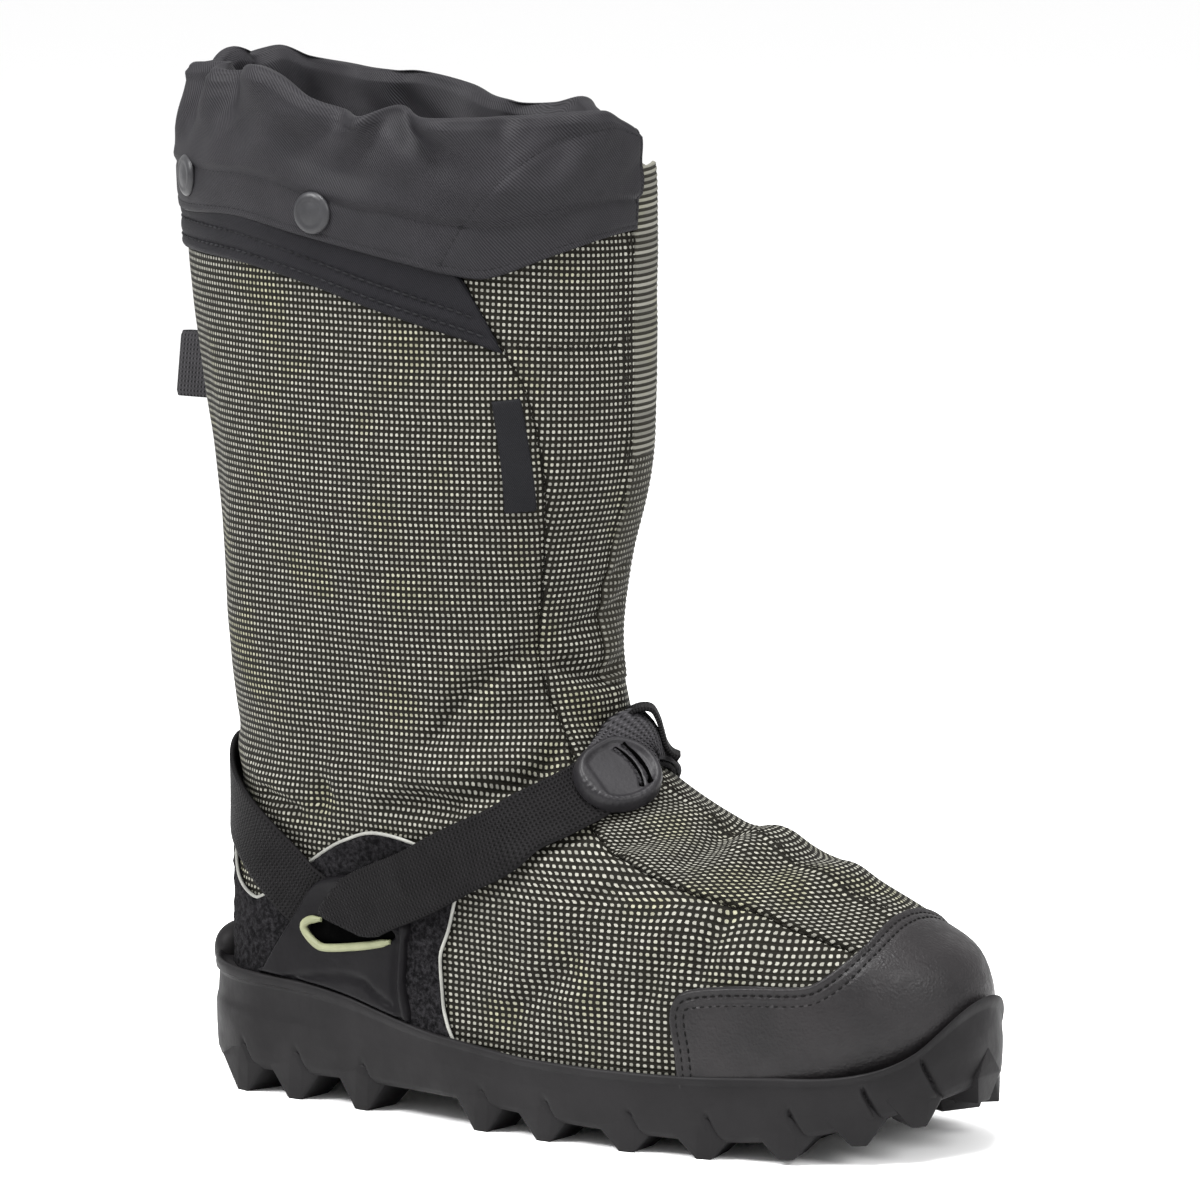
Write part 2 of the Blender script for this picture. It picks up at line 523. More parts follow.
def stitches(place, normal, length=2.4, gap=1.0, radius=0.38, lift=0.1):
    """Threads lying along a line: place and normal are its points and normals, close together."""
    run = np.concatenate([[0], np.cumsum(np.linalg.norm(np.diff(place, axis=0), axis=1))])
    count = max(int(run[-1] / (length + gap)), 1)
    starts = (np.arange(count) + 0.5) * run[-1] / count

    def at(table, s):
        return np.stack([np.interp(s, run, table[:, k]) for k in range(3)], -1)

    centre, up = at(place, starts), unit(at(normal, starts))
    along = unit(at(place, starts + 0.4) - at(place, starts - 0.4))
    side = unit(np.cross(up, along))
    shape = np.array([[-0.5, 0.25, -0.55], [-0.38, 0.8, 0.0], [0, 1, 0.25], [0.38, 0.8, 0.0], [0.5, 0.25, -0.55]])
    angle = np.linspace(0, 2 * np.pi, 6, endpoint=False)
    verts = np.zeros((count, 5, 6, 3))
    for j, (ahead, size, rise) in enumerate(shape):
        for k, a in enumerate(angle):
            verts[:, j, k] = (centre + along * ahead * length + side * math.cos(a) * radius * size
                              + up * (math.sin(a) * radius * size + rise * radius + lift))
    one = grid_faces(5, 6, True).tolist() + [list(range(6))[::-1], [24 + k for k in range(6)]]
    faces = [[i + 30 * n for i in face] for n in range(count) for face in one]
    return verts.reshape(-1, 3), faces


def flat_mesh(outline, holes=(), step=2.5, rings=(), loops=()):
    """Triangles that fill a plane outline, with rows of points beside its edge and round any holes."""
    def beside(line, distance):
        ahead = unit(np.roll(line, -1, 0) - np.roll(line, 1, 0))
        return line + np.stack([-ahead[:, 1], ahead[:, 0]], 1) * distance

    def signed(line):
        x, y = line.T
        return 0.5 * np.sum(x * np.roll(y, -1) - np.roll(x, -1) * y)

    def inside(points, line):
        a, b = line, np.roll(line, -1, 0)
        odd = np.zeros(len(points), bool)
        for (ax, ay), (bx, by) in zip(a, b):
            if ay == by:
                continue
            crosses = (points[:, 1] < ay) != (points[:, 1] < by)
            odd ^= crosses & (points[:, 0] < (bx - ax) * (points[:, 1] - ay) / (by - ay) + ax)
        return odd

    outline = outline if signed(outline) > 0 else outline[::-1]
    holes = [h if signed(h) < 0 else h[::-1] for h in holes]
    edges = [outline, *holes]
    closed = [np.vstack([line, line[:1]]) for line in edges]
    spots = []
    for line in edges:
        for distance in rings:
            spots.append((distance, beside(line, distance)))
    low, high = outline.min(0), outline.max(0)
    gx, gy = np.meshgrid(np.arange(low[0], high[0], step), np.arange(low[1], high[1], step))
    gx[1::2] += step / 2
    reach = max(rings, default=0) + step * 0.45
    spots.append((reach, np.stack([gx.ravel(), gy.ravel()], 1)))
    points = [*edges, *loops]
    for distance, spot in spots:
        keep = inside(spot, outline)
        for hole in holes:
            keep &= ~inside(spot, hole)
        spot = spot[keep]
        for line in closed:
            spot = spot[distance_to(spot, line)[0] > distance * 0.93]
        for loop in loops:
            near = distance_to(spot, np.vstack([loop, loop[:1]]))[0]
            spot = spot[near > 0.35]
        points.append(spot)
    links, count = [], 0
    for line in [*edges, *loops]:
        n = len(line)
        links += [(count + i, count + (i + 1) % n) for i in range(n)]
        count += n
    flat = np.vstack(points)
    found, _, faces, *_ = delaunay_2d_cdt([Vector(p) for p in flat], links, [], 0, 1e-5)
    found = np.array([[v.x, v.y] for v in found])
    faces = [f for f in faces if len(f) == 3]
    middle = np.array([found[list(f)].mean(0) for f in faces])
    keep = inside(middle, outline)
    for hole in holes:
        keep &= ~inside(middle, hole)
    faces = [f for f, k in zip(faces, keep) if k]
    gap = np.min([distance_to(found, line)[0] for line in closed], axis=0)
    return found, faces, gap


def border(faces):
    """Edges that belong to one face only, in that face's direction."""
    seen = {}
    for f in faces:
        for a, b in zip(f, [*f[1:], f[0]]):
            seen[(a, b)] = True
    return [(a, b) for a, b in seen if (b, a) not in seen]


def shell(top, under, faces):
    """A closed shell from a top and an underside with the same faces."""
    n = len(top)
    out = [list(f) for f in faces] + [[i + n for i in f][::-1] for f in faces]
    out += [[b, a, a + n, b + n] for a, b in border(faces)]
    return np.vstack([top, under]), out


def used(verts, faces, *tables):
    """Drops points that no face uses."""
    keep = sorted({i for f in faces for i in f})
    number = {old: new for new, old in enumerate(keep)}
    return verts[keep], [[number[i] for i in f] for f in faces], *[t[keep] for t in tables]


def skin_patch(outline, holes=(), step=2.5, rings=(), profile=None, inner=0.3, follow=1.0, even=1.2,
               cloth_of=None, extra=None):
    """A layer over the boot within an outline of turns and ups. profile(gap) gives its outer offset against
    the distance from its edge."""
    centre = np.asarray(outline).mean(0)
    spot = bare(centre[0], centre[1])
    scale_turn = np.linalg.norm(bare(centre[0] + 0.005, centre[1]) - spot) / 0.005
    scale_up = np.linalg.norm(bare(centre[0], centre[1] + 0.005) - spot) / 0.005
    scale = np.array([scale_turn, scale_up])
    outer = evened(np.asarray(outline) * scale, even, True)
    inner_loops = [evened(np.asarray(h) * scale, even * 0.7, True) for h in holes]
    flat, faces, gap = flat_mesh(outer, inner_loops, step, rings)
    flat, faces, _ = used(flat, faces, gap)
    turn, up = (flat / scale).T
    place = bare(turn, up)
    gap = np.full(len(place), 1e9)
    for line in [outer, *inner_loops]:
        around = np.vstack([line, line[:1]]) / scale
        gap = np.minimum(gap, distance_to(place, bare(around[:, 0], around[:, 1]))[0])
    height = profile(gap)
    if extra is not None:
        height = height + extra(turn, up)
    top = dressed(turn, up, height, follow)
    under = dressed(turn, up, inner, follow)
    normal = outward(turn, up)
    # The outline runs one way in turn and up, and its faces look outward where the normal says so
    a, b, c = (top[[f[k] for f in faces]] for k in range(3))
    looks = np.einsum("ij,ij->i", np.cross(b - a, c - a), normal[[f[0] for f in faces]]).sum()
    if looks < 0:
        faces = [f[::-1] for f in faces]
    verts, out = shell(top, under, faces)
    lengths = cloth_of(turn, up) if cloth_of else flat
    return verts, out, np.vstack([lengths, lengths])


def rounded(height, radius, base=0.0):
    """Outer offset that rises from an edge on a quarter round."""
    def profile(gap):
        t = np.clip(gap / radius, 0, 1)
        return base + (height - base) * np.sqrt(1 - (1 - t) ** 2)
    return profile


def nearest_on(turn, up, target):
    """Turns and ups of the boot's surface nearest to points in space, from a first guess."""
    small = 0.001
    for _ in range(4):
        place = bare(turn, up)
        d_turn = (bare(turn + small, up) - place) / small
        d_up = (bare(turn, up + small) - place) / small
        rest = target - place
        a11, a12, a22 = (d_turn**2).sum(-1), (d_turn * d_up).sum(-1), (d_up**2).sum(-1)
        b1, b2 = (d_turn * rest).sum(-1), (d_up * rest).sum(-1)
        det = a11 * a22 - a12**2
        turn = turn + (a22 * b1 - a12 * b2) / det
        up = up + (a11 * b2 - a12 * b1) / det
    return turn, up


def ribbon(course, width, inner, outer, step=2.0, across=14, lift=None, side_round=0.7, start=None, bow=0.0):
    """Webbing over the boot along a course of turns and ups. start gives its slanted first end as rows of
    share across and distance along, and bow is how much less its edges are lifted than its middle."""
    tu = line_on(course, step)
    turn, up = tu.T
    centre = bare(turn, up)
    normal = outward(turn, up)
    along = unit(np.gradient(centre, axis=0))
    wide = unit(np.cross(normal, along))
    extra = np.zeros(len(turn)) if lift is None else lift(turn, up, centre)
    lengths = np.concatenate([[0], np.cumsum(np.linalg.norm(np.diff(centre, axis=0), axis=1))])
    share_along = np.linspace(0, 1, len(turn))
    shares = np.sin(np.linspace(-np.pi / 2, np.pi / 2, across)) * 0.5
    rows, cloth = [], []
    for face in (1, -1):
        for share in shares[::face]:
            edge = np.clip((0.5 - abs(share)) * width / side_round, 0, 1)
            thick = inner + (outer - inner) * (0.5 + face * 0.5 * math.sqrt(1 - (1 - edge) ** 2))
            first = 0.0 if start is None else np.interp(share, start[:, 0], start[:, 1])
            at = first + (lengths[-1] - first) * share_along

            def along_it(table):
                return np.stack([np.interp(at, lengths, table[:, k]) for k in range(table.shape[1])], 1)

            spot = along_it(tu)
            target = along_it(centre) + unit(along_it(wide)) * share * width
            t, u = nearest_on(spot[:, 0], spot[:, 1], target)
            rise = thick + np.interp(at, lengths, extra) * (1 - bow * (2 * share) ** 2)
            rows.append(bare(t, u) + outward(t, u) * rise[:, None])
            cloth.append(np.stack([at, np.full(len(at), share * width)], 1))
    ring = np.stack(rows, 1)
    n, m = ring.shape[:2]
    faces = grid_faces(n, m, True).tolist()
    faces += [list(range(m))[::-1], [(n - 1) * m + k for k in range(m)]]
    a, b, c = ring[n // 2, 1], ring[n // 2, 3], ring[n // 2 + 1, 1]
    if np.dot(np.cross(b - a, c - a), normal[n // 2]) < 0:
        faces = [f[::-1] for f in faces]
    return ring.reshape(-1, 3), faces, np.stack(cloth, 1).reshape(-1, 2)


# Materials
def tone(r, g, b):
    """A colour read from the photograph's scale of 0 to 255."""
    def linear(v):
        v /= 255
        return v / 12.92 if v <= 0.04045 else ((v + 0.055) / 1.055) ** 2.4
    return (linear(r), linear(g), linear(b), 1.0)


class Shader:
    """Builds one material's nodes."""

    def __init__(self, name, roughness, **settings):
        self.material = bpy.data.materials.new(name)
        self.material.use_nodes = True
        self.tree = self.material.node_tree
        self.main = self.tree.nodes["Principled BSDF"]
        self.main.inputs["Roughness"].default_value = roughness
        for key, value in settings.items():
            self.main.inputs[key.replace("_", " ")].default_value = value
        self.object = self.node("ShaderNodeTexCoord").outputs["Object"]

    def node(self, kind, **settings):
        node = self.tree.nodes.new(kind)
        for key, value in settings.items():
            setattr(node, key, value)
        return node

    def link(self, value, socket):
        if isinstance(value, (int, float, tuple)):
            socket.default_value = value
        else:
            self.tree.links.new(value, socket)

    def maths(self, operation, a, b=0.0, c=0.0):
        node = self.node("ShaderNodeMath", operation=operation)
        for i, value in enumerate((a, b, c)):
            self.link(value, node.inputs[i])
        return node.outputs[0]

    def lengths(self):
        attribute = self.node("ShaderNodeAttribute", attribute_name="cloth")
        split = self.node("ShaderNodeSeparateXYZ")
        self.link(attribute.outputs["Vector"], split.inputs[0])
        return attribute.outputs["Vector"], split.outputs[0], split.outputs[1]

    def noise(self, scale, detail=2.0, vector=None, roughness=0.5):
        node = self.node("ShaderNodeTexNoise")
        self.link(vector or self.object, node.inputs["Vector"])
        node.inputs["Scale"].default_value = scale
        node.inputs["Detail"].default_value = detail
        node.inputs["Roughness"].default_value = roughness
        return node.outputs["Fac"]

    def cells(self, scale, vector=None, feature="F1"):
        node = self.node("ShaderNodeTexVoronoi", feature=feature)
        self.link(vector or self.object, node.inputs["Vector"])
        node.inputs["Scale"].default_value = scale
        return node.outputs["Distance"]

    def spread(self, value, low, high, to_low=0.0, to_high=1.0):
        node = self.node("ShaderNodeMapRange", interpolation_type="SMOOTHSTEP")
        for i, v in enumerate((value, low, high, to_low, to_high)):
            self.link(v, node.inputs[i])
        return node.outputs[0]

    def mix(self, share, a, b):
        node = self.node("ShaderNodeMix", data_type="RGBA")
        self.link(share, node.inputs[0])
        self.link(a, node.inputs[6])
        self.link(b, node.inputs[7])
        return node.outputs[2]

    def shade(self, colour, share):
        node = self.node("ShaderNodeMix", data_type="RGBA", blend_type="MULTIPLY")
        node.inputs[0].default_value = 1.0
        self.link(colour, node.inputs[6])
        self.link(share, node.inputs[7])
        return node.outputs[2]

    def bump(self, *layers):
        """Layers of height, each with its distance in metres."""
        normal = None
        for height, distance in layers:
            node = self.node("ShaderNodeBump")
            node.inputs["Strength"].default_value = 1.0
            node.inputs["Distance"].default_value = distance
            self.link(height, node.inputs["Height"])
            if normal is not None:
                self.link(normal, node.inputs["Normal"])
            normal = node.outputs[0]
        self.link(normal, self.main.inputs["Normal"])

    def colour(self, value):
        self.link(value, self.main.inputs["Base Color"])
        return self

    def rough(self, value):
        self.link(value, self.main.inputs["Roughness"])


dot_across = 3.0
dot_along = 2.3


def weave_material(name, pale, olive_pale, dark, light, dot_half=0.29):
    s = Shader(name, 0.75, Specular_IOR_Level=0.08)
    vector, across, along = s.lengths()
    wander = s.maths("MULTIPLY", s.maths("SUBTRACT", s.noise(55), 0.5), 0.5)
    u = s.maths("ADD", s.maths("DIVIDE", across, dot_across), wander)
    v = s.maths("DIVIDE", along, dot_along)
    fu = s.maths("ABSOLUTE", s.maths("SUBTRACT", s.maths("FRACT", u), 0.5))
    fv = s.maths("ABSOLUTE", s.maths("SUBTRACT", s.maths("FRACT", v), 0.5))
    gap = s.maths("ADD", s.maths("POWER", s.maths("DIVIDE", fu, dot_half), 3.0),
                  s.maths("POWER", s.maths("DIVIDE", fv, 0.265), 3.0))
    dot = s.spread(gap, 0.45, 1.35, 1.0, 0.0)
    cell = s.node("ShaderNodeCombineXYZ")
    s.link(s.maths("FLOOR", u), cell.inputs[0])
    s.link(s.maths("FLOOR", v), cell.inputs[1])
    random = s.node("ShaderNodeTexWhiteNoise", noise_dimensions="2D")
    s.link(cell.outputs[0], random.inputs["Vector"])
    patch = s.spread(s.noise(38, 3), 0.5, 0.68)
    thread = s.mix(patch, pale, olive_pale)
    thread = s.shade(thread, s.spread(random.outputs["Value"], 0, 1, 0.63, 1.0))
    fibre = s.noise(1500, 2)
    ground = s.mix(fibre, dark, light)
    s.colour(s.mix(dot, ground, thread))
    rib = s.maths("MULTIPLY", s.maths("POWER", s.maths("MULTIPLY", fv, 2.0), 4.0), -0.5)
    height = s.maths("ADD", s.maths("ADD", dot, rib), s.maths("MULTIPLY", fibre, 0.3))
    s.bump((height, 0.00034))
    return s.material


def twill_material(name, dark, light, pitch=0.95, gloss=0.08):
    s = Shader(name, 0.6, Specular_IOR_Level=gloss)
    vector, across, along = s.lengths()
    slant = s.maths("ADD", across, s.maths("MULTIPLY", along, 0.62))
    slant = s.maths("ADD", slant, s.maths("MULTIPLY", s.noise(260), 0.25))
    wave = s.maths("SINE", s.maths("MULTIPLY", slant, 2 * math.pi / pitch))
    wave = s.maths("MULTIPLY_ADD", wave, 0.5, 0.5)
    slub = s.spread(s.noise(90, 4), 0.3, 0.7)
    base = s.mix(s.maths("MULTIPLY_ADD", wave, 0.7, s.maths("MULTIPLY", slub, 0.1)), dark, light)
    s.colour(base)
    s.bump((s.maths("ADD", wave, s.maths("MULTIPLY", s.noise(900), 0.5)), 0.00013), (s.noise(60, 2), 0.0002))
    return s.material


def webbing_material(name, dark, light):
    s = Shader(name, 0.6, Specular_IOR_Level=0.04)
    vector, along, across = s.lengths()
    pair = s.maths("SINE", s.maths("MULTIPLY", across, 2 * math.pi / 1.7))
    rib = s.maths("SINE", s.maths("ADD", s.maths("MULTIPLY", along, 2 * math.pi / 1.5),
                                  s.maths("MULTIPLY", pair, 0.9)))
    weave = s.maths("MULTIPLY_ADD", s.maths("MULTIPLY", rib, pair), 0.3, s.maths("MULTIPLY_ADD", rib, 0.25, 0.5))
    s.colour(s.mix(s.maths("ADD", weave, s.maths("MULTIPLY_ADD", s.noise(120), 0.4, -0.2)), dark, light))
    s.bump((weave, 0.00045), (s.noise(1400), 0.0001))
    return s.material


def rubber_material(name, dark, light, roughness, gloss, grain=0.00012, scale=420):
    s = Shader(name, roughness, Specular_IOR_Level=gloss)
    patch = s.spread(s.noise(24, 4), 0.35, 0.7)
    s.colour(s.mix(patch, dark, light))
    s.rough(s.spread(s.noise(60, 3), 0.3, 0.7, roughness - 0.07, roughness + 0.08))
    s.bump((s.noise(scale, 3), grain), (s.noise(60, 2), 0.0004))
    return s.material


def coated_material():
    s = Shader("coated", 0.42, Specular_IOR_Level=0.17)
    pebble = s.cells(900)
    fine = s.noise(1100, 3)
    s.colour(s.mix(s.spread(s.noise(30, 4), 0.3, 0.7), tone(17, 16, 17), tone(27, 25, 26)))
    s.rough(s.spread(s.noise(260, 3), 0.3, 0.7, 0.36, 0.52))
    s.bump((pebble, 0.00013), (fine, 0.00018), (s.noise(70), 0.0003))
    return s.material


def fleece_material():
    s = Shader("fleece", 0.95, Specular_IOR_Level=0.05)
    tuft = s.noise(520, 5, roughness=0.7)
    s.colour(s.mix(s.spread(tuft, 0.35, 0.7), tone(5, 5, 6), tone(38, 37, 39)))
    s.bump((tuft, 0.0016), (s.noise(1900, 2), 0.0006))
    return s.material


def plain_material(name, dark, light, roughness, grain=0.0001, scale=700, **settings):
    s = Shader(name, roughness, **settings)
    s.colour(s.mix(s.spread(s.noise(80, 3), 0.3, 0.7), dark, light))
    s.bump((s.noise(scale, 3), grain))
    return s.material


weave = weave_material("weave", tone(129, 128, 120), tone(130, 129, 110), tone(6, 6, 4), tone(24, 22, 17))
ribbed = weave_material("ribbed", tone(106, 105, 98), tone(106, 105, 94), tone(18, 17, 14), tone(38, 36, 30))
twill = twill_material("twill", tone(8, 7, 10), tone(38, 37, 40), 0.85, 0.13)
band_twill = twill_material("band_twill", tone(9, 9, 11), tone(27, 26, 30), 0.8)
label_cloth = twill_material("label_cloth", tone(9, 9, 11), tone(24, 24, 27), 0.7)
webbing = webbing_material("webbing", tone(2, 2, 2), tone(25, 24, 25))
webbing_light = webbing_material("webbing_light", tone(14, 14, 15), tone(58, 57, 59))
rubber = rubber_material("rubber", tone(15, 14, 15), tone(22, 21, 22), 0.58, 0.12)
stay_rubber = rubber_material("stay_rubber", tone(6, 5, 7), tone(11, 10, 12), 0.5, 0.08)
coated = coated_material()
fleece = fleece_material()
piping = plain_material("piping", tone(104, 104, 100), tone(132, 132, 127), 0.55, Specular_IOR_Level=0.25)
olive = plain_material("olive", tone(100, 103, 78), tone(118, 120, 94), 0.5, Specular_IOR_Level=0.25)
plastic = plain_material("plastic", tone(22, 21, 23), tone(31, 30, 32), 0.42, 0.00008, Specular_IOR_Level=0.16)
slot_dark = plain_material("slot_dark", tone(3, 3, 3), tone(6, 6, 6), 0.9, Specular_IOR_Level=0.0)
snap_metal = plain_material("snap_metal", tone(26, 26, 28), tone(38, 38, 40), 0.4, 0.00008, Specular_IOR_Level=0.25)
thread = plain_material("thread", tone(7, 7, 7), tone(15, 14, 14), 0.85, Specular_IOR_Level=0.1)
cuff_thread = plain_material("cuff_thread", tone(18, 18, 19), tone(32, 32, 34), 0.85, Specular_IOR_Level=0.1)
olive_thread = plain_material("olive_thread", tone(12, 11, 8), tone(22, 20, 16), 0.85, Specular_IOR_Level=0.1)

# Lengths for the weave
turn_table = np.linspace(-0.6, 1.1, 1701)
up_table = np.linspace(0, 1, 201)
ring_places = bare(turn_table[None, :], up_table[:, None])
ring_steps = np.linalg.norm(np.diff(ring_places, axis=1), axis=2)
ring_lengths = np.concatenate([np.zeros((len(up_table), 1)), np.cumsum(ring_steps, axis=1)], axis=1)
side_x = 85.0
outer_side = (turn_table > 0.02) & (turn_table < 0.48)
side_index = np.array([np.where(outer_side)[0][np.argmin(abs(row[outer_side, 0] - side_x))] for row in ring_places])
side_zero = ring_lengths[np.arange(len(up_table)), side_index]
front_zero = ring_lengths[:, np.argmin(abs(turn_table - 0.5))]
front_line = bare(0.5, up_table)
front_rise = np.concatenate([[0], np.cumsum(np.linalg.norm(np.diff(front_line, axis=0), axis=1))])


def ring_length(turn, up, zero):
    """Length round the boot from a starting line."""
    row = np.clip(up, 0, 1) * (len(up_table) - 1)
    i = np.minimum(row.astype(int), len(up_table) - 2)
    column = (np.asarray(turn) - turn_table[0]) / (turn_table[1] - turn_table[0])
    j = np.clip(column.astype(int), 0, len(turn_table) - 2)
    fj, fi = column - j, row - i
    low = ring_lengths[i, j] * (1 - fj) + ring_lengths[i, j + 1] * fj - zero[i]
    high = ring_lengths[i + 1, j] * (1 - fj) + ring_lengths[i + 1, j + 1] * fj - zero[i + 1]
    return low * (1 - fi) + high * fi


def closer(up):
    """The weave's dots stand closer across on the shaft than on the foot."""
    return 1.13 + 0.39 * np.clip((np.asarray(up) - 0.28) / 0.3, 0, 1)


def side_cloth(turn, up):
    return np.stack([ring_length(turn, up, side_zero) * closer(up), bare(turn, up)[..., 2]], -1)


def front_cloth(turn, up):
    return np.stack([ring_length(turn, up, front_zero) * closer(up), np.interp(up, up_table, front_rise)], -1)


# The upper: outside cloth and lining as one closed shell
seam_rows = sorted([[up, run] for run, up in front_seam])


def seam_turn(up):
    return turn_of(curve(seam_rows, up))


def upper_piece():
    columns, rows = 420, 150
    turn = np.linspace(0, 1, columns, endpoint=False)
    # The cloth ends inside the cuff, and stands higher only where the cuff is open at the front
    top = 0.942 + 0.03 * np.clip((turn - 0.492) / 0.01, 0, 1) * np.clip((0.67 - turn) / 0.01, 0, 1)
    tt, uu = np.broadcast_arrays(turn[None, :], np.linspace(0, 1, rows)[:, None] * top[None, :])
    near = np.minimum(tt, 1 - tt)
    edge_gap = (near - seam_turn(uu)) * 620
    dip = -1.3 * np.exp(-((edge_gap / 2.4) ** 2)) * ((uu > 0.17) & (uu < 0.94))
    under_panel = np.where(edge_gap > 2, -0.8, 0.0)
    outside = dressed(tt, uu, dip + under_panel)
    ti, ui = np.broadcast_arrays(turn[None, :], np.linspace(1, 0, 60)[:, None] * top[None, :])
    inner = dressed(ti, ui, -2.2, 0.6)
    verts = np.vstack([outside.reshape(-1, 3), inner.reshape(-1, 3)])
    faces = grid_faces(rows + 60, columns, True).tolist()
    last = (rows + 59) * columns
    faces += [[last + k, last + (k + 1) % columns, (k + 1) % columns, k] for k in range(columns)]
    signed = np.where(tt > 0.5, tt - 1, tt).ravel()
    cloth = side_cloth(signed, uu.ravel())
    lining_cloth = side_cloth(np.where(ti > 0.5, ti - 1, ti).ravel(), ui.ravel())
    return piece("upper_cloth", verts, faces, weave, ["upper"], "weave", np.vstack([cloth, lining_cloth]))


upper_piece()


def front_panel_piece():
    columns, rows = 150, 190
    up = np.linspace(0.125, 0.976, rows)
    edge = seam_turn(np.clip(up, 0.181, 0.935)) + np.clip(up - 0.935, 0, 1) * -0.55
    share = 0.5 - 0.5 * np.cos(np.linspace(0, np.pi, columns))
    share = 0.6 * share + 0.4 * np.linspace(0, 1, columns)
    tt = edge[:, None] + (1 - 2 * edge[:, None]) * share[None, :]
    uu = np.broadcast_to(up[:, None], tt.shape)
    gap = np.minimum(tt - edge[:, None], (1 - edge[:, None]) - tt) * 620
    height = -1.4 + 2.9 * np.sqrt(1 - (1 - np.clip(gap / 4.5, 0, 1)) ** 2)
    # The flap's edge, folded under and stitched, and the seam across the panel
    flap = (tt - flap_turn(uu)) * 620
    height = height + 0.9 / (1 + np.exp(-flap / 0.5)) * (uu < 0.97) - 0.3
    cross = (uu - 0.872) * 330
    lateral = tt < flap_turn(uu)
    height = height - 0.8 * np.exp(-((cross / 1.1) ** 2)) * lateral
    height = height - 1.6 * under_cap(tt, uu)
    under_cuff = np.clip((uu - 0.925) / 0.02, 0, 1) * ((tt < 0.4965) | (tt > 0.667))
    height = height - 1.3 * under_cuff
    top = dressed(tt, uu, height)
    under = dressed(tt, uu, np.minimum(height, 1.5) - 1.1)
    verts, faces = shell(top.reshape(-1, 3), under.reshape(-1, 3), grid_faces(rows, columns).tolist())
    cloth = front_cloth(tt.ravel(), uu.ravel())
    return piece("front_cloth", verts, faces, weave, ["front_panel"], "weave", np.vstack([cloth, cloth]))


flap_rows = [
    [0.12, 0.475], [0.231, 0.473], [0.294, 0.466], [0.358, 0.466], [0.431, 0.482], [0.55, 0.492], [0.625, 0.4955],
    [0.7, 0.498], [0.796, 0.487], [0.847, 0.4775], [0.897, 0.478], [0.945, 0.485], [0.98, 0.495],
]


def flap_turn(up):
    return curve(flap_rows, up)


front_panel_piece()


def threads(name, rows, offset, material, replaces=(), slot="weave", follow=1.0, mirror=False, **sizes):
    """Rows of stitches along lines on the boot."""
    parts = []
    for line in rows:
        for side in ([1, -1] if mirror else [1]):
            tu = line_on(line, 1.0)
            turn = tu[:, 0] if side > 0 else 1 - tu[:, 0]
            place = dressed(turn, tu[:, 1], offset, follow)
            parts.append(stitches(place, outward(turn, tu[:, 1]), **sizes))
    return piece(name, *joined(parts), material, replaces, slot)


ups = np.linspace(0.19, 0.93, 75)
seam_line = np.stack([seam_turn(ups), ups], 1)
threads("seam_stitches", [seam_line], -0.9, olive_thread, mirror=True, length=2.6, gap=0.7, radius=0.5)
ups = np.linspace(0.235, 0.935, 70)
flap_line = np.stack([flap_turn(ups), ups], 1)
threads("flap_stitches", [flap_line + [0.0035, 0], flap_line + [0.0095, 0]], 2.1, olive_thread,
        length=2.2, gap=1.2, radius=0.34)
cross_turns = np.linspace(0.379, 0.474, 20)
threads("panel_stitches", [np.stack([cross_turns, np.full(20, 0.872)], 1)], 0.9, olive_thread,
        length=2.2, gap=1.2, radius=0.3)


def placket_piece():
    rows, columns = 220, 26
    up = np.linspace(0.64, 0.99, rows)
    spread = np.linspace(0.43, 0.62, 96)
    tt = np.zeros((rows, columns))
    wanted = np.linspace(-3, 19, columns)
    for i, u in enumerate(up):
        y = bare(spread, u)[:, 1]
        tt[i] = np.interp(wanted, y, spread)
    uu = np.broadcast_to(up[:, None], tt.shape)
    gap = np.minimum(wanted + 3, 19 - wanted)[None, :]
    end = np.minimum(uu - up[0], up[-1] - uu) * 330
    height = 1.9 + 0.9 * np.sqrt(1 - (1 - np.clip(np.minimum(gap, end) / 1.2, 0, 1)) ** 2)
    rise = front_cloth(tt.ravel(), uu.ravel())[:, 1]
    ribs = 0.2 * np.cos(rise.reshape(tt.shape) * 2 * np.pi / dot_along)
    top = dressed(tt, uu, height - ribs * np.clip(gap, 0, 1))
    under = dressed(tt, uu, 1.2)
    verts, faces = shell(top.reshape(-1, 3), under.reshape(-1, 3), grid_faces(rows, columns).tolist())
    # Its weave runs across as whole ribs at the top, and as dots from one row of the weave down
    last_rib = np.floor(np.interp(0.82, up, rise.reshape(tt.shape)[:, columns // 2]) / dot_along)
    apart = 1.35 * (np.floor(rise / dot_along) < last_rib)
    across = dot_across / 2 + np.broadcast_to(wanted, tt.shape).ravel() * apart
    cloth = np.stack([across, rise], 1)
    return piece("front_flap", verts, faces, ribbed, ["front_placket"], "weave", np.vstack([cloth, cloth]))


placket_piece()


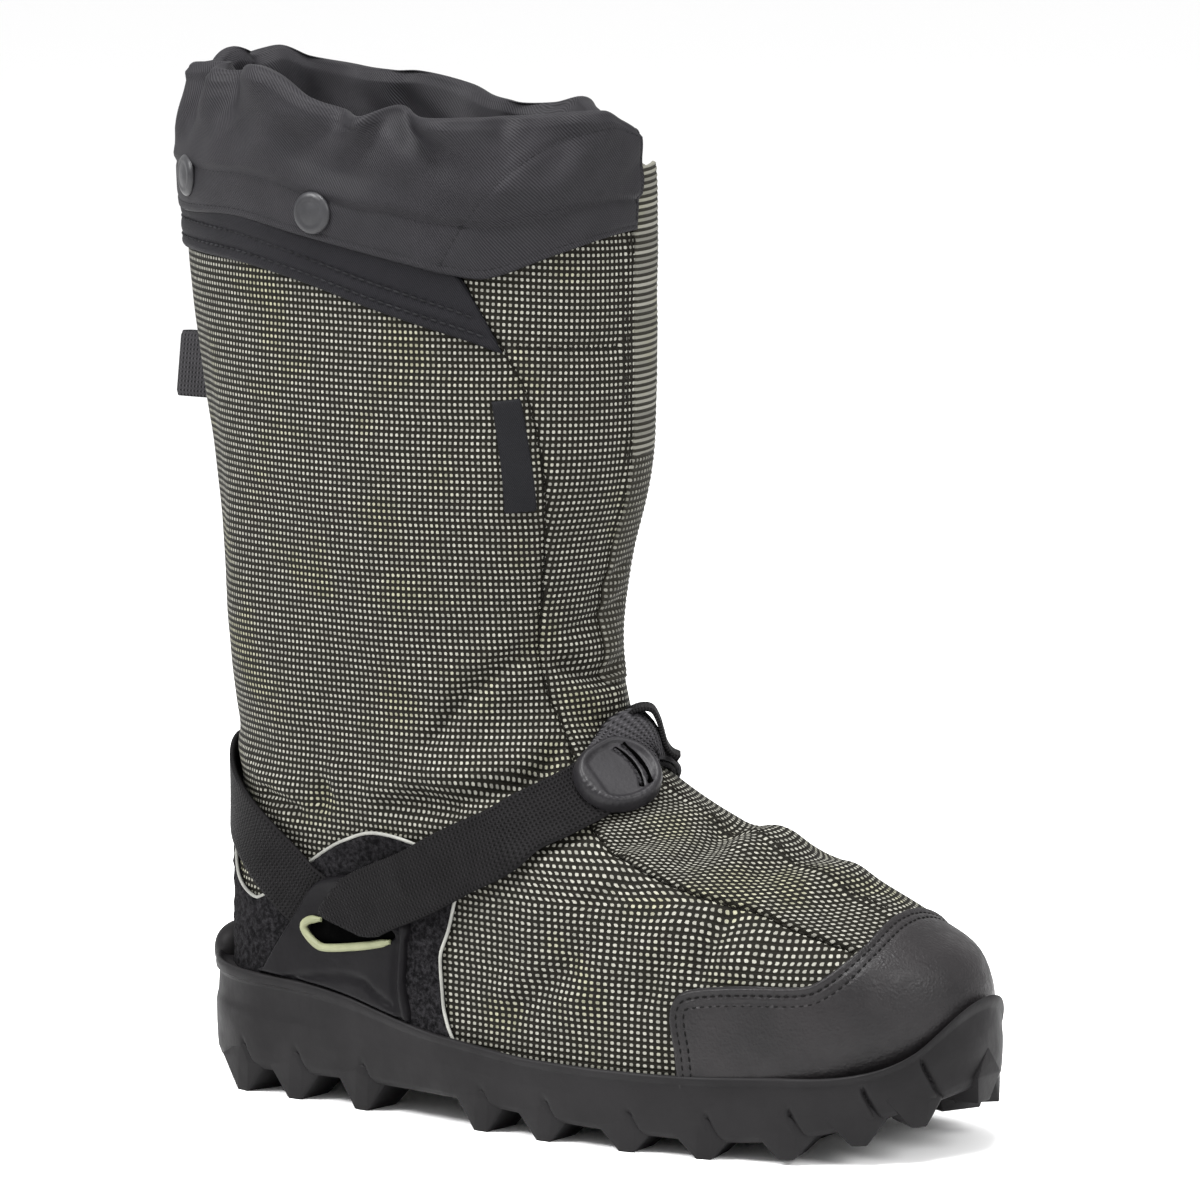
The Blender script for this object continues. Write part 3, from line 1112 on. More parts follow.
# Dark band under the cuff
def band_piece():
    columns, rows = 300, 34
    share = np.linspace(-1, 1, columns)
    foot_turn = share * turn_of(0.845)
    top_turn = share * turn_of(0.70)
    foot_up = curve(band_foot, 0.5 - 0.5 * np.cos(2 * np.pi * np.abs(foot_turn)))
    top_up = np.full(columns, 0.945)
    r = np.linspace(0, 1, rows)[:, None] ** 1.25
    tt = foot_turn + (top_turn - foot_turn) * r
    uu = foot_up + (top_up - foot_up) * r
    gap = (uu - foot_up) * 330
    front = (1 - np.abs(share)) * turn_of(0.8) * 620
    edge = np.minimum(gap, front[None, :] + 0 * gap)
    height = 0.2 + 1.9 * np.sqrt(1 - (1 - np.clip(edge / 1.2, 0, 1)) ** 2)
    height = height - 0.55 * np.exp(-(((gap - 2.2) / 0.7) ** 2)) - 0.55 * np.exp(-(((gap - 5.4) / 0.8) ** 2))
    bulge = 2.2 * np.exp(-(((gap - 16) / 9) ** 2)) * np.exp(-((tt / 0.1) ** 2))
    ripple = 0.5 * np.sin(tt * 34 + 2 * np.sin(gap / 9)) * np.clip(gap / 10, 0, 1)
    height = height + bulge + ripple - 1.1 * np.clip((uu - 0.928) / 0.012, 0, 1)
    top = dressed(tt, uu, height)
    under = dressed(tt, uu, 0.1)
    verts, faces = shell(top.reshape(-1, 3), under.reshape(-1, 3), grid_faces(rows, columns).tolist())
    cloth = np.stack([ring_length(tt.ravel(), uu.ravel(), side_zero), top[..., 2].ravel()], 1)
    piece("collar_band", verts, faces, band_twill, ["gusset_band"], "twill", np.vstack([cloth, cloth]))
    lines = []
    for distance in (2.2, 5.4):
        up = foot_up + distance / 330
        lines.append(np.stack([foot_turn + (top_turn - foot_turn) * distance / 24, up], 1)[3:-3])
    threads("band_stitches", lines, 1.7, cuff_thread, slot="twill", length=2.5, gap=0.9, radius=0.4)


band_piece()


# The cuff
cuff_fold_lines = [(b, h, np.asarray(course, float)) for b, h, course in cuff_folds]
cuff_front = 0.4975
cuff_end = 0.665
curved_seam = [[0.331, 0.05], [0.345, 0.28], [0.3625, 0.49], [0.385, 0.65], [0.41, 0.76], [0.45, 0.86], [0.49, 0.92]]
cuff_around = 430.0
cuff_tall = 38.0


def cuff_out(climb):
    """Offset of the cuff's outer face, which swells out above the hem's casing."""
    climb = np.asarray(climb)
    step = np.clip((climb - 0.285) / 0.06, 0, 1)
    return 3.9 + 1.3 * step * step * (3 - 2 * step) + 1.4 * np.sin(np.pi * np.clip((climb - 0.3) / 0.75, 0, 1))


def cuff_height(turn):
    """How high the cuff stands from its hem to its rim."""
    wrapped = np.mod(turn, 1.0)
    run = 0.5 - 0.5 * np.cos(2 * np.pi * wrapped)
    return curve(cuff_hem, run), curve(cuff_rim, wrapped)


def cuff_point(turn, climb, out, lift=0.0, folded=2.4):
    """Point of the cuff. climb is 0 at the hem and 1 at the rim, out the offset from the cloth."""
    hem, rim = cuff_height(turn)
    up = hem + (1 - hem) * climb
    place = bare(turn, up)
    shift = rim * np.clip(climb, 0, 1) ** 1.3 + lift
    offset = np.zeros(np.broadcast(turn, climb).shape) + out
    t, c = np.broadcast_arrays(np.mod(turn, 1.0), climb)
    fade = np.clip((c - 0.25) / 0.25, 0, 1)
    for breadth, height, course in cuff_fold_lines:
        line = np.stack([course[:, 0] * cuff_around, course[:, 1] * cuff_tall, np.zeros(len(course))], 1)
        for wrap in (-1, 0, 1):
            spots = np.stack([(t + wrap) * cuff_around, c * cuff_tall, np.zeros(t.shape)], -1).reshape(-1, 3)
            if np.abs(spots[:, 0] - line[:, 0].mean()).min() > 60:
                continue
            gap, share = distance_to(spots, line)
            taper = np.clip(1.15 - share, 0, 1)
            fold = (height * np.exp(-((gap / breadth / 0.85) ** 2)) * taper).reshape(t.shape)
            offset = offset + folded * fold * fade
    offset = offset + 0.45 * np.sin(t * 150 + 3 * np.sin(c * 5)) * fade + 0.3 * np.sin(t * 61 - c * 9)
    # The gathered rim leans in at the back
    behind = np.exp(-((np.sin(np.pi * (t - 0.07)) / 0.42) ** 2))
    offset = offset - 8.5 * np.clip((c - 0.3) / 0.55, 0, 1) * behind
    point = place + outward(turn, up) * offset[..., None]
    point[..., 2] = point[..., 2] + shift
    return point


def cuff_piece():
    columns = 460
    turn = np.linspace(cuff_end - 1, cuff_front, columns)
    rows = []
    # Hem turned under, outer face, rolled rim, inner face
    for climb, out in [[0.03, 1.75], [0.0, 1.9], [-0.012, 2.6], [0.0, 3.6]]:
        rows.append((climb, out, 0.0))
    for climb in np.linspace(0.025, 0.93, 46):
        gap = climb * 42
        groove = 0.4 * math.exp(-((gap - 1.8) / 0.8) ** 2) + 0.35 * math.exp(-((gap - 11.8) / 0.9) ** 2)
        rows.append((climb, float(cuff_out(climb)) - groove, 0.0))
    for angle in np.linspace(10, 170, 12):
        a = math.radians(angle)
        rows.append((0.96, 1.6 + 3.0 * math.cos(a), 2.6 * math.sin(a)))
    for climb in np.linspace(0.92, 0.05, 26):
        rows.append((climb, -3.4 - 1.4 * math.sin(math.pi * climb), 0.0))
    rows.append((0.03, -2.6, 0.0))
    climb = np.array([r[0] for r in rows])[:, None]
    out = np.array([r[1] for r in rows])[:, None]
    lift = np.array([r[2] for r in rows])[:, None]
    tt = np.broadcast_to(turn[None, :], (len(rows), columns))
    end = np.minimum(turn - turn[0], turn[-1] - turn) * 430
    seam = 0.5 * np.exp(-(((end - 2.6) / 0.7) ** 2))
    pinch = 1 - 0.6 * np.sqrt(1 - np.clip(end / 1.2, 0, 1) ** 2)
    outside = out > 2.4
    offset = np.where(outside, 2.4 + (out - 2.4) * pinch[None, :] - seam[None, :] * (climb > 0.1), out)
    cc = np.broadcast_to(climb, tt.shape)
    spots = np.stack([tt.ravel() * cuff_around, cc.ravel() * cuff_tall], 1)
    course = smooth_line(curved_seam, 12) * [cuff_around, cuff_tall]
    beside = distance_to(spots, course)[0].reshape(tt.shape)
    offset = offset - 0.4 * np.exp(-((beside / 1.1) ** 2)) * outside
    folded = np.where(out < 0, 1.5, 2.4)
    points = cuff_point(tt, cc, offset, lift, folded)
    n = len(rows)
    faces = grid_faces(n, columns).tolist()
    faces += [[(n - 1) * columns + k, (n - 1) * columns + k + 1, k + 1, k] for k in range(columns - 1)]
    first, last = [r * columns for r in range(n)], [r * columns + columns - 1 for r in range(n)]
    faces += [first, last[::-1]]
    steps = np.linalg.norm(np.diff(points, axis=0), axis=2)
    along = np.concatenate([np.zeros((1, columns)), np.cumsum(steps, axis=0)], axis=0)
    around = (tt * 430)
    cloth = np.stack([around.ravel(), along.ravel()], 1)
    # The end caps are long polygons, so they are cut into triangles
    obj = piece("cuff_cloth", points.reshape(-1, 3), faces, twill, ["cuff"], "twill", cloth)
    mesh = bmesh.new()
    mesh.from_mesh(obj.data)
    bmesh.ops.recalc_face_normals(mesh, faces=mesh.faces)
    bmesh.ops.triangulate(mesh, faces=[f for f in mesh.faces if len(f.verts) > 4])
    mesh.to_mesh(obj.data)
    mesh.free()
    return obj


cuff_piece()


def cuff_threads(line, extra=0.0, **sizes):
    line = smooth_line(line, 20)
    place = cuff_point(line[:, 0], line[:, 1], cuff_out(line[:, 1]) - 0.5 + extra)
    normal = outward(np.mod(line[:, 0], 1), np.full(len(line), 0.97))
    even = np.concatenate([[0], np.cumsum(np.linalg.norm(np.diff(place, axis=0), axis=1))])
    at = np.linspace(0, even[-1], int(even[-1]) + 2)
    place, normal = (np.stack([np.interp(at, even, t[:, k]) for k in range(3)], 1) for t in (place, normal))
    return stitches(place, normal, length=2.2, gap=0.5, radius=0.22, lift=0.0, **sizes)


around_cuff = np.linspace(cuff_end - 1 + 0.006, cuff_front - 0.006, 80)
front_edge = np.array([[0, 0.08], [0, 0.5], [0, 0.9]]) + [cuff_front - 0.006, 0]
parts = [
    cuff_threads(np.stack([around_cuff, np.full(80, 1.8 / 42)], 1)),
    cuff_threads(np.stack([around_cuff, np.full(80, 11.8 / 42)], 1)),
    cuff_threads(front_edge), cuff_threads(curved_seam),
]
piece("cuff_stitches", *joined(parts), cuff_thread, (), "twill")


# Toe cap
def mirrored(rows):
    """An outline of run and up on the outer side, carried over to the inner side."""
    lateral = to_turns(rows)
    medial = np.stack([1 - lateral[::-1, 0], lateral[::-1, 1]], 1)
    return np.vstack([lateral, medial[1:] if lateral[-1, 0] >= 0.4999 else medial])


def cap_profile(gap):
    rise = cap_outer * np.sqrt(1 - (1 - np.clip(gap / 1.3, 0, 1)) ** 2)
    lip = 0.6 * np.exp(-(((gap - 1.1) / 0.9) ** 2))
    grooves = 0.5 * np.exp(-(((gap - 2.9) / 0.75) ** 2)) + 0.5 * np.exp(-(((gap - 5.8) / 0.75) ** 2))
    return rise + lip - grooves


toe_boundary = smooth_line(toe_cap_edge, 10)
toe_outline = mirrored(toe_boundary)
verts, faces, lengths = skin_patch(
    toe_outline, step=3.0, rings=tuple(np.arange(0.3, 10.0, 0.55)),
    profile=lambda gap: cap_profile(gap), follow=0.35, even=1.3)
piece("toe_cover", verts, faces, coated, ["toe_cap"], "coated", lengths)


def beside_on(rows, distance):
    """A line of turns and ups, a distance to the left of its own direction on the boot."""
    tu = line_on(rows, 1.5, smooth=False)
    place = bare(tu[:, 0], tu[:, 1])
    along = unit(np.gradient(place, axis=0))
    wide = np.cross(outward(tu[:, 0], tu[:, 1]), along)
    small = 0.001
    d_turn = (bare(tu[:, 0] + small, tu[:, 1]) - place) / small
    d_up = (bare(tu[:, 0], tu[:, 1] + small) - place) / small
    a11, a12, a22 = (d_turn**2).sum(1), (d_turn * d_up).sum(1), (d_up**2).sum(1)
    b1, b2 = (d_turn * wide).sum(1), (d_up * wide).sum(1)
    det = a11 * a22 - a12**2
    step = np.stack([a22 * b1 - a12 * b2, a11 * b2 - a12 * b1], 1) / det[:, None]
    return tu + step * distance


cap_lines = [beside_on(toe_outline, side)[6:-6] for side in (-2.9, -5.8)]
threads("cap_stitches", cap_lines, 2.0, thread, slot="coated", follow=0.35, length=2.0, gap=1.0, radius=0.36)


# Sole
heel_reach = 10.0
toe_reach = 11.5
sole_back = foot_sections[0][0] * foot_length - sole_edge - heel_reach
sole_front = foot_sections[0][2] * foot_length + sole_edge + toe_reach
sole_length = sole_front - sole_back
sole_stations = np.array(foot_sections[0][6:10]) * ball_width + sole_edge


def sole_outline(turn, inset):
    def at(where):
        angle = where * 2 * np.pi
        run = 0.5 - 0.5 * np.cos(angle)
        x = sole_back + sole_length * run
        stations = np.broadcast_to(sole_stations, (*np.shape(run), 4))
        y = last_curve(x) - np.sign(np.sin(angle)) * half_width(run, stations, 0.125, 0.16)
        return np.stack([x, y, np.zeros_like(x)], -1)
    turn = np.asarray(turn, float)
    along = unit(at(turn + 0.002) - at(turn - 0.002))
    inward = np.stack([-along[..., 1], along[..., 0], np.zeros_like(along[..., 0])], -1)
    return at(turn) + inward * np.asarray(inset)[..., None]


def spring_at(x):
    return toe_spring * np.clip((x - spring_start) / (sole_front - spring_start), 0, 1) ** 2.3


def sole_share(x):
    return (x - sole_back) / sole_length


def underside_at(x):
    return curve(underside_rows, sole_share(x)) * lug_height + spring_at(x)


def rim_at(x):
    return curve(rim_rows, sole_share(x)) * rim_height


# Heel panel, its piping, and the stays
heel_boundary = smooth_line(heel_panel_edge[1:], 8)
heel_lateral = to_turns(np.vstack([[[0.0, 0.408]], [[0.012, 0.402]], heel_boundary]))
heel_medial = heel_lateral[1:] * [-1, 1]
heel_outline = np.vstack([heel_medial[::-1], heel_lateral])
rng = np.random.default_rng(7)
verts, faces, lengths = skin_patch(
    heel_outline, step=1.9, rings=(0.4, 0.9, 1.6, 2.6), profile=rounded(2.0, 1.4), even=1.6,
    extra=lambda turn, up: 0.22 * rng.standard_normal(len(turn)))
piece("heel_cover", verts, faces, fleece, ["heel_panel"], "fleece", lengths)

for name, side in (("lateral", 1), ("medial", -1)):
    rows = heel_lateral.copy() if side > 0 else heel_lateral * [-1, 1]
    tu = line_on(rows[2:], 2.0, smooth=False)
    place = dressed(tu[:, 0], tu[:, 1], 1.4)
    radius = np.full(len(place), 0.62)
    piece(f"piping_{name}", *tube(place, radius, 10), piping, [f"heel_piping_{name}"], "piping")


def stay_profile(gap):
    return stay_inner - 0.6 + (stay_outer + 0.2 - stay_inner + 0.6) * np.sqrt(1 - (1 - np.clip(gap / 1.4, 0, 1)) ** 2)


def stay_relief(turn, up):
    """The stay's fold on its right and the moulded curve by the rim."""
    near = np.where(turn > 0.5, 1 - turn, np.abs(turn))
    place = bare(near, up)
    fold = to_turns([[0.347, 0.225], [0.325, 0.15], [0.313, 0.09], [0.32, 0.045]])
    fold = bare(*line_on(fold, 3).T)
    low = to_turns([[0.14, 0.081], [0.181, 0.089], [0.233, 0.097], [0.262, 0.093], [0.279, 0.078], [0.306, 0.064]])
    low = bare(*line_on(low, 3).T)
    gap_fold, _ = distance_to(place, fold)
    gap_low, _ = distance_to(place, low)
    return -1.2 * np.exp(-((gap_fold / 1.2) ** 2)) - 1.3 * np.exp(-((gap_low / 1.0) ** 2))


def rim_up(turn, above):
    """How far up the boot the sole's rim reaches."""
    low, high = np.zeros(len(turn)), np.full(len(turn), 0.3)
    for _ in range(30):
        middle = (low + high) / 2
        place = bare(turn, middle)
        under = place[:, 2] < rim_at(place[:, 0]) + above
        low, high = np.where(under, middle, low), np.where(under, high, middle)
    return high


for name, side in (("lateral", 1), ("medial", -1)):
    outline = smooth_line(stay_edge, 8)
    outline = outline[outline[:, 1] > 0.05]
    outline = to_turns(outline)
    foot = np.linspace(outline[-1, 0], outline[0, 0], 40)
    foot = np.stack([foot, rim_up(foot, 0.5)], 1)
    outline = outline[outline[:, 1] > rim_up(outline[:, 0], 2.0)]
    outline = np.vstack([outline, foot])
    if side < 0:
        outline = outline * [-1, 1] + [1, 0]
    hole = to_turns(smooth_loop(slot_edge, 8), side)
    verts, faces, lengths = skin_patch(outline, [hole], step=1.1, rings=(0.3, 0.7, 1.2, 1.9), profile=stay_profile,
                                       inner=stay_inner - 1.2, follow=0.3, even=1.1, extra=stay_relief)
    # The slot has a dark floor behind it
    middle = hole.mean(0)
    floor_verts, floor_faces, floor_lengths = skin_patch(
        middle + (hole - middle) * 1.12, step=3.0, rings=(0.6,), profile=rounded(3.0, 0.5), inner=1.9, follow=0.3)
    count = len(faces)
    verts, faces = joined([(verts, faces), (floor_verts, floor_faces)])
    plate = piece(f"stay_plate_{name}", verts, faces, stay_rubber, [f"stay_{name}"], "rubber",
                  np.vstack([lengths, floor_lengths]))
    plate.data.materials.append(slot_dark)
    for polygon in plate.data.polygons[count:]:
        polygon.material_index = 1
    tu = line_on(to_turns(trim_line, side), 1.0)
    share = np.linspace(0, 1, len(tu))
    radius = 1.5 * np.clip(np.minimum(share, 1 - share) * 14, 0.35, 1) ** 0.5
    place = dressed(tu[:, 0], tu[:, 1], stay_outer + 0.3, 0.3)
    piece(f"slot_edge_{name}", *tube(place, radius, 12), olive, [f"slot_trim_{name}"], "olive")


# Webbing
def heel_lift(turn, up, place):
    """The strap's ends sink under the stays."""
    gap = np.minimum(np.linalg.norm(place - place[0], axis=1), np.linalg.norm(place - place[-1], axis=1))
    return -2.4 * (1 - np.clip(gap / 9, 0, 1))


verts, faces, lengths = ribbon(heel_course, webbing_width, stay_inner, webbing_outer, lift=heel_lift)
piece("heel_webbing", verts, faces, webbing, ["heel_strap"], "webbing", lengths)

stay_front = to_turns([stay_edge[6]])[0]
stay_front_x = bare(*stay_front)[0]


def instep_lift(turn, up, place):
    """The strap comes out of the slot, lies over the stay and comes down to the cloth."""
    ramp = np.clip((place[:, 0] - stay_front_x - 2) / 32, 0, 1)
    rise = 3.4 * (1 - ramp**2 * (3 - 2 * ramp))
    gap = np.minimum(np.linalg.norm(place - place[0], axis=1), np.linalg.norm(place - place[-1], axis=1))
    return rise - 3.0 * (1 - np.clip(gap / 9, 0, 1)) ** 1.5


slot_end = np.array([[-0.5, 29.0], [-0.41, 22.0], [0.22, 3.0], [0.5, 22.0]])
verts, faces, lengths = ribbon(instep_course, webbing_width, stay_inner, webbing_outer, lift=instep_lift,
                               start=slot_end)
piece("instep_webbing", verts, faces, webbing, ["instep_strap"], "webbing", lengths)

tail_course = np.vstack([
    [[0.436, 0.5385], [0.47, 0.561], [0.5, 0.575]],
    to_turns([[0.965, 0.56], [0.845, 0.522], [0.76, 0.494]], -1),
])


def tail_lift(turn, up, place):
    """The doubled webbing stands off where it bends over the instep."""
    return 5.4 * np.exp(-(((turn - 0.509) / 0.023) ** 2))


verts, faces, lengths = ribbon(tail_course, webbing_width, webbing_outer + 0.3, webbing_outer + 2.3, lift=tail_lift,
                               bow=0.85)
piece("webbing_end", verts, faces, webbing_light, ["strap_tail"], "webbing", lengths)


# Buckle
def seat(turn, up, offset, roll):
    """Origin and axes of a piece that sits on the boot."""
    place = bare(turn, up)
    normal = outward(turn, up)
    level = unit(np.cross([0.0, 0.0, 1.0], normal))
    rise = np.cross(normal, level)
    first = level * math.cos(roll) + rise * math.sin(roll)
    second = -level * math.sin(roll) + rise * math.cos(roll)
    return place + normal * offset, first, second, normal


def seated(points, place):
    origin, first, second, normal = place
    return origin + points[:, :1] * first + points[:, 1:2] * second + points[:, 2:3] * normal


def slot_loop(radius, half_angle, width, centre):
    """Outline of an arc-shaped slot with round ends."""
    a = np.linspace(-half_angle, half_angle, 22)
    outer = np.stack([np.cos(a), np.sin(a)], 1) * (radius + width / 2)
    inner = (np.stack([np.cos(a), np.sin(a)], 1) * (radius - width / 2))[::-1]
    ends = []
    for angle, turn in ((half_angle, 1), (-half_angle, -1)):
        spot = np.array([math.cos(angle), math.sin(angle)]) * radius
        sweep = np.linspace(0, math.pi, 7)[1:-1]
        start = angle if turn > 0 else angle + math.pi
        ends.append(spot + np.stack([np.cos(start + sweep), np.sin(start + sweep)], 1) * width / 2)
    return np.vstack([outer, ends[0], inner, ends[1]]) + centre


def buckle_piece():
    angle = np.linspace(0, 2 * np.pi, 120, endpoint=False)
    power = 2.2
    c, s = np.cos(angle), np.sin(angle)
    size = (np.abs(c) ** power + np.abs(s) ** power) ** (-1 / power)
    # The oval comes to a soft point at its upper end
    away = np.angle(np.exp(1j * (angle - math.radians(72))))
    size = size * (1 + 0.07 * np.exp(-((away / 0.3) ** 2)))
    outline = np.stack([c * size * buckle_length * 0.48, s * size * buckle_height / 2], 1)
    centre = np.array([-11.5, 0.0])
    slots = [(17.6, 0.52), (20.9, 0.43)]
    loops = []
    for radius, reach in slots:
        for width in (2.0, 1.3):
            loops.append(slot_loop(radius, reach, width, centre))
    flat, faces, gap = flat_mesh(outline, step=0.8, rings=(0.25, 0.6, 1.0, 1.5, 2.1, 2.8, 3.5), loops=loops)
    flat, faces, gap = used(flat, faces, gap)
    x, y = flat.T
    rim = 5.4 * np.sqrt(1 - (1 - np.clip(gap / 2.2, 0, 1)) ** 2)
    # Flat recess inside a raised rim
    recess = np.clip((gap - 3.2) / 0.9, 0, 1) * np.clip((x + 10.5) / 1.0, 0, 1)
    recess = recess * recess * (3 - 2 * recess)
    height = rim - 1.2 * recess
    around = np.arctan2(y, x)
    ribs = 0.5 * np.maximum(0, np.sin(around * 38)) * ((gap > 0.2) & (gap < 2.6))
    lower_left = np.clip(np.cos(around - math.radians(-125)) * 2.4 - 0.7, 0, 1)
    height = height - ribs * lower_left
    depth = np.hypot(*(flat - centre).T)
    bearing = np.arctan2(y - centre[1], x - centre[0])
    sunk = np.zeros(len(flat), bool)
    for radius, reach in slots:
        sunk |= (np.abs(depth - radius) < 0.8) & (np.abs(bearing) < reach + 0.03)
    height = np.where(sunk, 0.8, height)
    dark = [any(sunk[i] for i in f) for f in faces]
    under = np.full(len(flat), -0.4)
    top = np.stack([x, y, height], 1)
    bottom = np.stack([x, y, under], 1)
    verts, out = shell(top, bottom, faces)
    place = seat(0.4375, 0.531, webbing_outer - 0.6, 0.35)
    obj = piece("buckle_cover", seated(verts, place), out, plastic, ["buckle"], "plastic")
    obj.data.materials.append(slot_dark)
    corners = {frozenset(f) for f, is_dark in zip(faces, dark) if is_dark}
    for polygon in obj.data.polygons:
        if frozenset(polygon.vertices) in corners:
            polygon.material_index = 1
            polygon.use_smooth = False


buckle_piece()


def keeper_piece():
    """Narrow band over the strap past the buckle, standing off from it with a turned-up end."""
    middle = bare(0.503, 0.556)
    view_right = np.array([math.cos(math.radians(32)), math.sin(math.radians(32)), 0.0])
    middle = middle + view_right * 5.0
    rise = np.array([0.0, 0.0, 1.0])
    depth = np.array([-view_right[1], view_right[0], 0.0])
    path = [[-12, 12.5], [-8.5, 16.5], [-4.2, 18.2], [-0.6, 17.6], [1.6, 14], [3.0, 9.5], [4.2, 5.2], [6.2, 2.2],
            [8.9, 0.2]]
    path = evened(smooth_line(path, 8), 0.6)
    ahead = unit(np.gradient(path, axis=0))
    side = np.stack([-ahead[:, 1], ahead[:, 0]], 1)
    share = np.linspace(0, 1, len(path))
    thick = 0.85 + 0.5 * np.exp(-(((1 - share) / 0.05) ** 2))
    rows, cloth = [], []
    levels = np.array([0, 0.5, 1.2, 4, 8, 12, 13.3, 14])
    ease = np.array([0.55, 0.9, 1, 1, 1, 1, 0.9, 0.55])
    for sign in (1, -1):
        for level, size in list(zip(levels, ease))[::sign]:
            spot = path + side * (sign * thick * size)[:, None]
            rows.append(middle + spot[:, :1] * view_right + spot[:, 1:] * rise + depth * (level - 2))
            cloth.append(np.column_stack([share * 50, np.full(len(path), level)]))
    ring = np.stack(rows, 1)
    n, m = ring.shape[:2]
    faces = grid_faces(n, m, True).tolist() + [list(range(m))[::-1], [(n - 1) * m + k for k in range(m)]]
    return piece("strap_keeper", ring.reshape(-1, 3), faces, webbing, (), "webbing", np.stack(cloth, 1).reshape(-1, 2))


keeper_piece()


def lathe(profile, sides=48):
    """Points and faces of a turned form, its axis along Z."""
    profile = np.asarray(profile, float)
    angle = np.linspace(0, 2 * np.pi, sides, endpoint=False)
    ring = np.stack([np.cos(angle), np.sin(angle)], 1)
    verts = [np.column_stack([ring * r, np.full(sides, z)]) for r, z in profile]
    faces = grid_faces(len(profile), sides, True).tolist()
    faces += [list(range(sides))[::-1], [(len(profile) - 1) * sides + k for k in range(sides)]]
    return np.vstack(verts), faces


snap_profile = smooth_line([[7.2, 0], [7.6, 0.7], [7.3, 1.5], [6.5, 2.1], [5.6, 2.35], [4.4, 2.3], [3.0, 2.55],
                            [1.4, 2.8], [0.3, 2.85]], 4)
for name, turn, up in (("rear", 0.1146, 0.937), ("side", 0.2467, 0.934)):
    verts, faces = lathe(snap_profile)
    hem, _ = cuff_height(np.array([turn]))
    climb = float((up - hem[0]) / (1 - hem[0]))
    seat_at = seat(turn, up, 0.0, 0.0)
    middle = cuff_point(np.array([turn]), np.array([climb]), cuff_out(climb) - 0.3)[0]
    piece(f"snap_cap_{name}", seated(verts, (middle, *seat_at[1:])), faces, snap_metal, [f"snap_{name}"], "plastic")


# Pull tab at the back: a folded loop of webbing
def pull_tab_piece():
    root = bare(0.0, 0.838) + outward(0.0, 0.838) * 0.4
    reach, half, thick = 18.0, 2.2, 1.5
    path = [[6, half], [-2, half + 0.4], [-reach + 3, half + 0.2], [-reach + 1, half * 0.7], [-reach, 0],
            [-reach + 1, -half * 0.7], [-reach + 3, -half - 0.2], [-2, -half - 0.4], [6, -half]]
    path = evened(smooth_line(path, 8), 0.7)
    ahead = unit(np.gradient(path, axis=0))
    side = np.stack([-ahead[:, 1], ahead[:, 0]], 1)
    levels = np.linspace(-12, 12, 14)
    rows, cloth = [], []
    length = np.arange(len(path)) * 0.7
    for sign in (1, -1):
        for z in levels[:: sign]:
            edge = math.sqrt(1 - max(0, (abs(z) - 11.2) / 0.8) ** 2) if abs(z) < 12 else 0.2
            spot = path + side * sign * thick / 2 * edge
            lean = 0.10 * z
            rows.append(np.column_stack([root[0] + spot[:, 0] + lean, root[1] + spot[:, 1], np.full(len(path), root[2] + z)]))
            cloth.append(np.column_stack([length, np.full(len(path), z)]))
    ring = np.stack(rows, 1)
    n, m = ring.shape[:2]
    faces = grid_faces(n, m, True).tolist() + [list(range(m))[::-1], [(n - 1) * m + k for k in range(m)]]
    obj = piece("tab_webbing", ring.reshape(-1, 3), faces, webbing_light, ["pull_tab"], "webbing",
                np.stack(cloth, 1).reshape(-1, 2))
    mesh = bmesh.new()
    mesh.from_mesh(obj.data)
    bmesh.ops.recalc_face_normals(mesh, faces=mesh.faces)
    mesh.to_mesh(obj.data)
    mesh.free()


pull_tab_piece()

# Label, left bare
label_outline = to_turns(label_edge)
verts, faces, lengths = skin_patch(label_outline, step=2.0, rings=(0.3, 0.8, 1.5), profile=rounded(1.5, 0.6, 0.5),
                                   even=1.2)
piece("woven_label", verts, faces, label_cloth, ["label"], "twill", lengths)

def hull(points):
    """The convex hull of points, with its edges eased."""
    mesh = bmesh.new()
    for p in points:
        mesh.verts.new(p)
    made = bmesh.ops.convex_hull(mesh, input=mesh.verts)
    bmesh.ops.delete(mesh, geom=[g for g in made["geom_interior"] if isinstance(g, bmesh.types.BMVert)], context="VERTS")
    bmesh.ops.dissolve_limit(mesh, angle_limit=0.05, verts=mesh.verts, edges=mesh.edges)
    bmesh.ops.bevel(mesh, geom=list(mesh.edges), offset=0.4, segments=2, profile=0.6, affect="EDGES",
                    clamp_overlap=True)
    bmesh.ops.triangulate(mesh, faces=mesh.faces)
    mesh.verts.index_update()
    verts = np.array([v.co for v in mesh.verts])
    faces = [[v.index for v in f.verts] for f in mesh.faces]
    mesh.free()
    return verts, faces


def side_place(along, side):
    """Edge point of the sole, with the ways forward and inward."""
    run = 0.5 - 0.5 * math.cos(math.acos(1 - 2 * along))
    turn = math.acos(1 - 2 * run) / (2 * math.pi)
    place = turn if side < 0 else 1 - turn
    edge = sole_outline(np.array(place), 0.0)
    forward = unit(sole_outline(np.array(place + 0.002), 0.0) - sole_outline(np.array(place - 0.002), 0.0))
    inward = np.array([-forward[1], forward[0], 0.0])
    return edge, (forward if side < 0 else -forward), inward


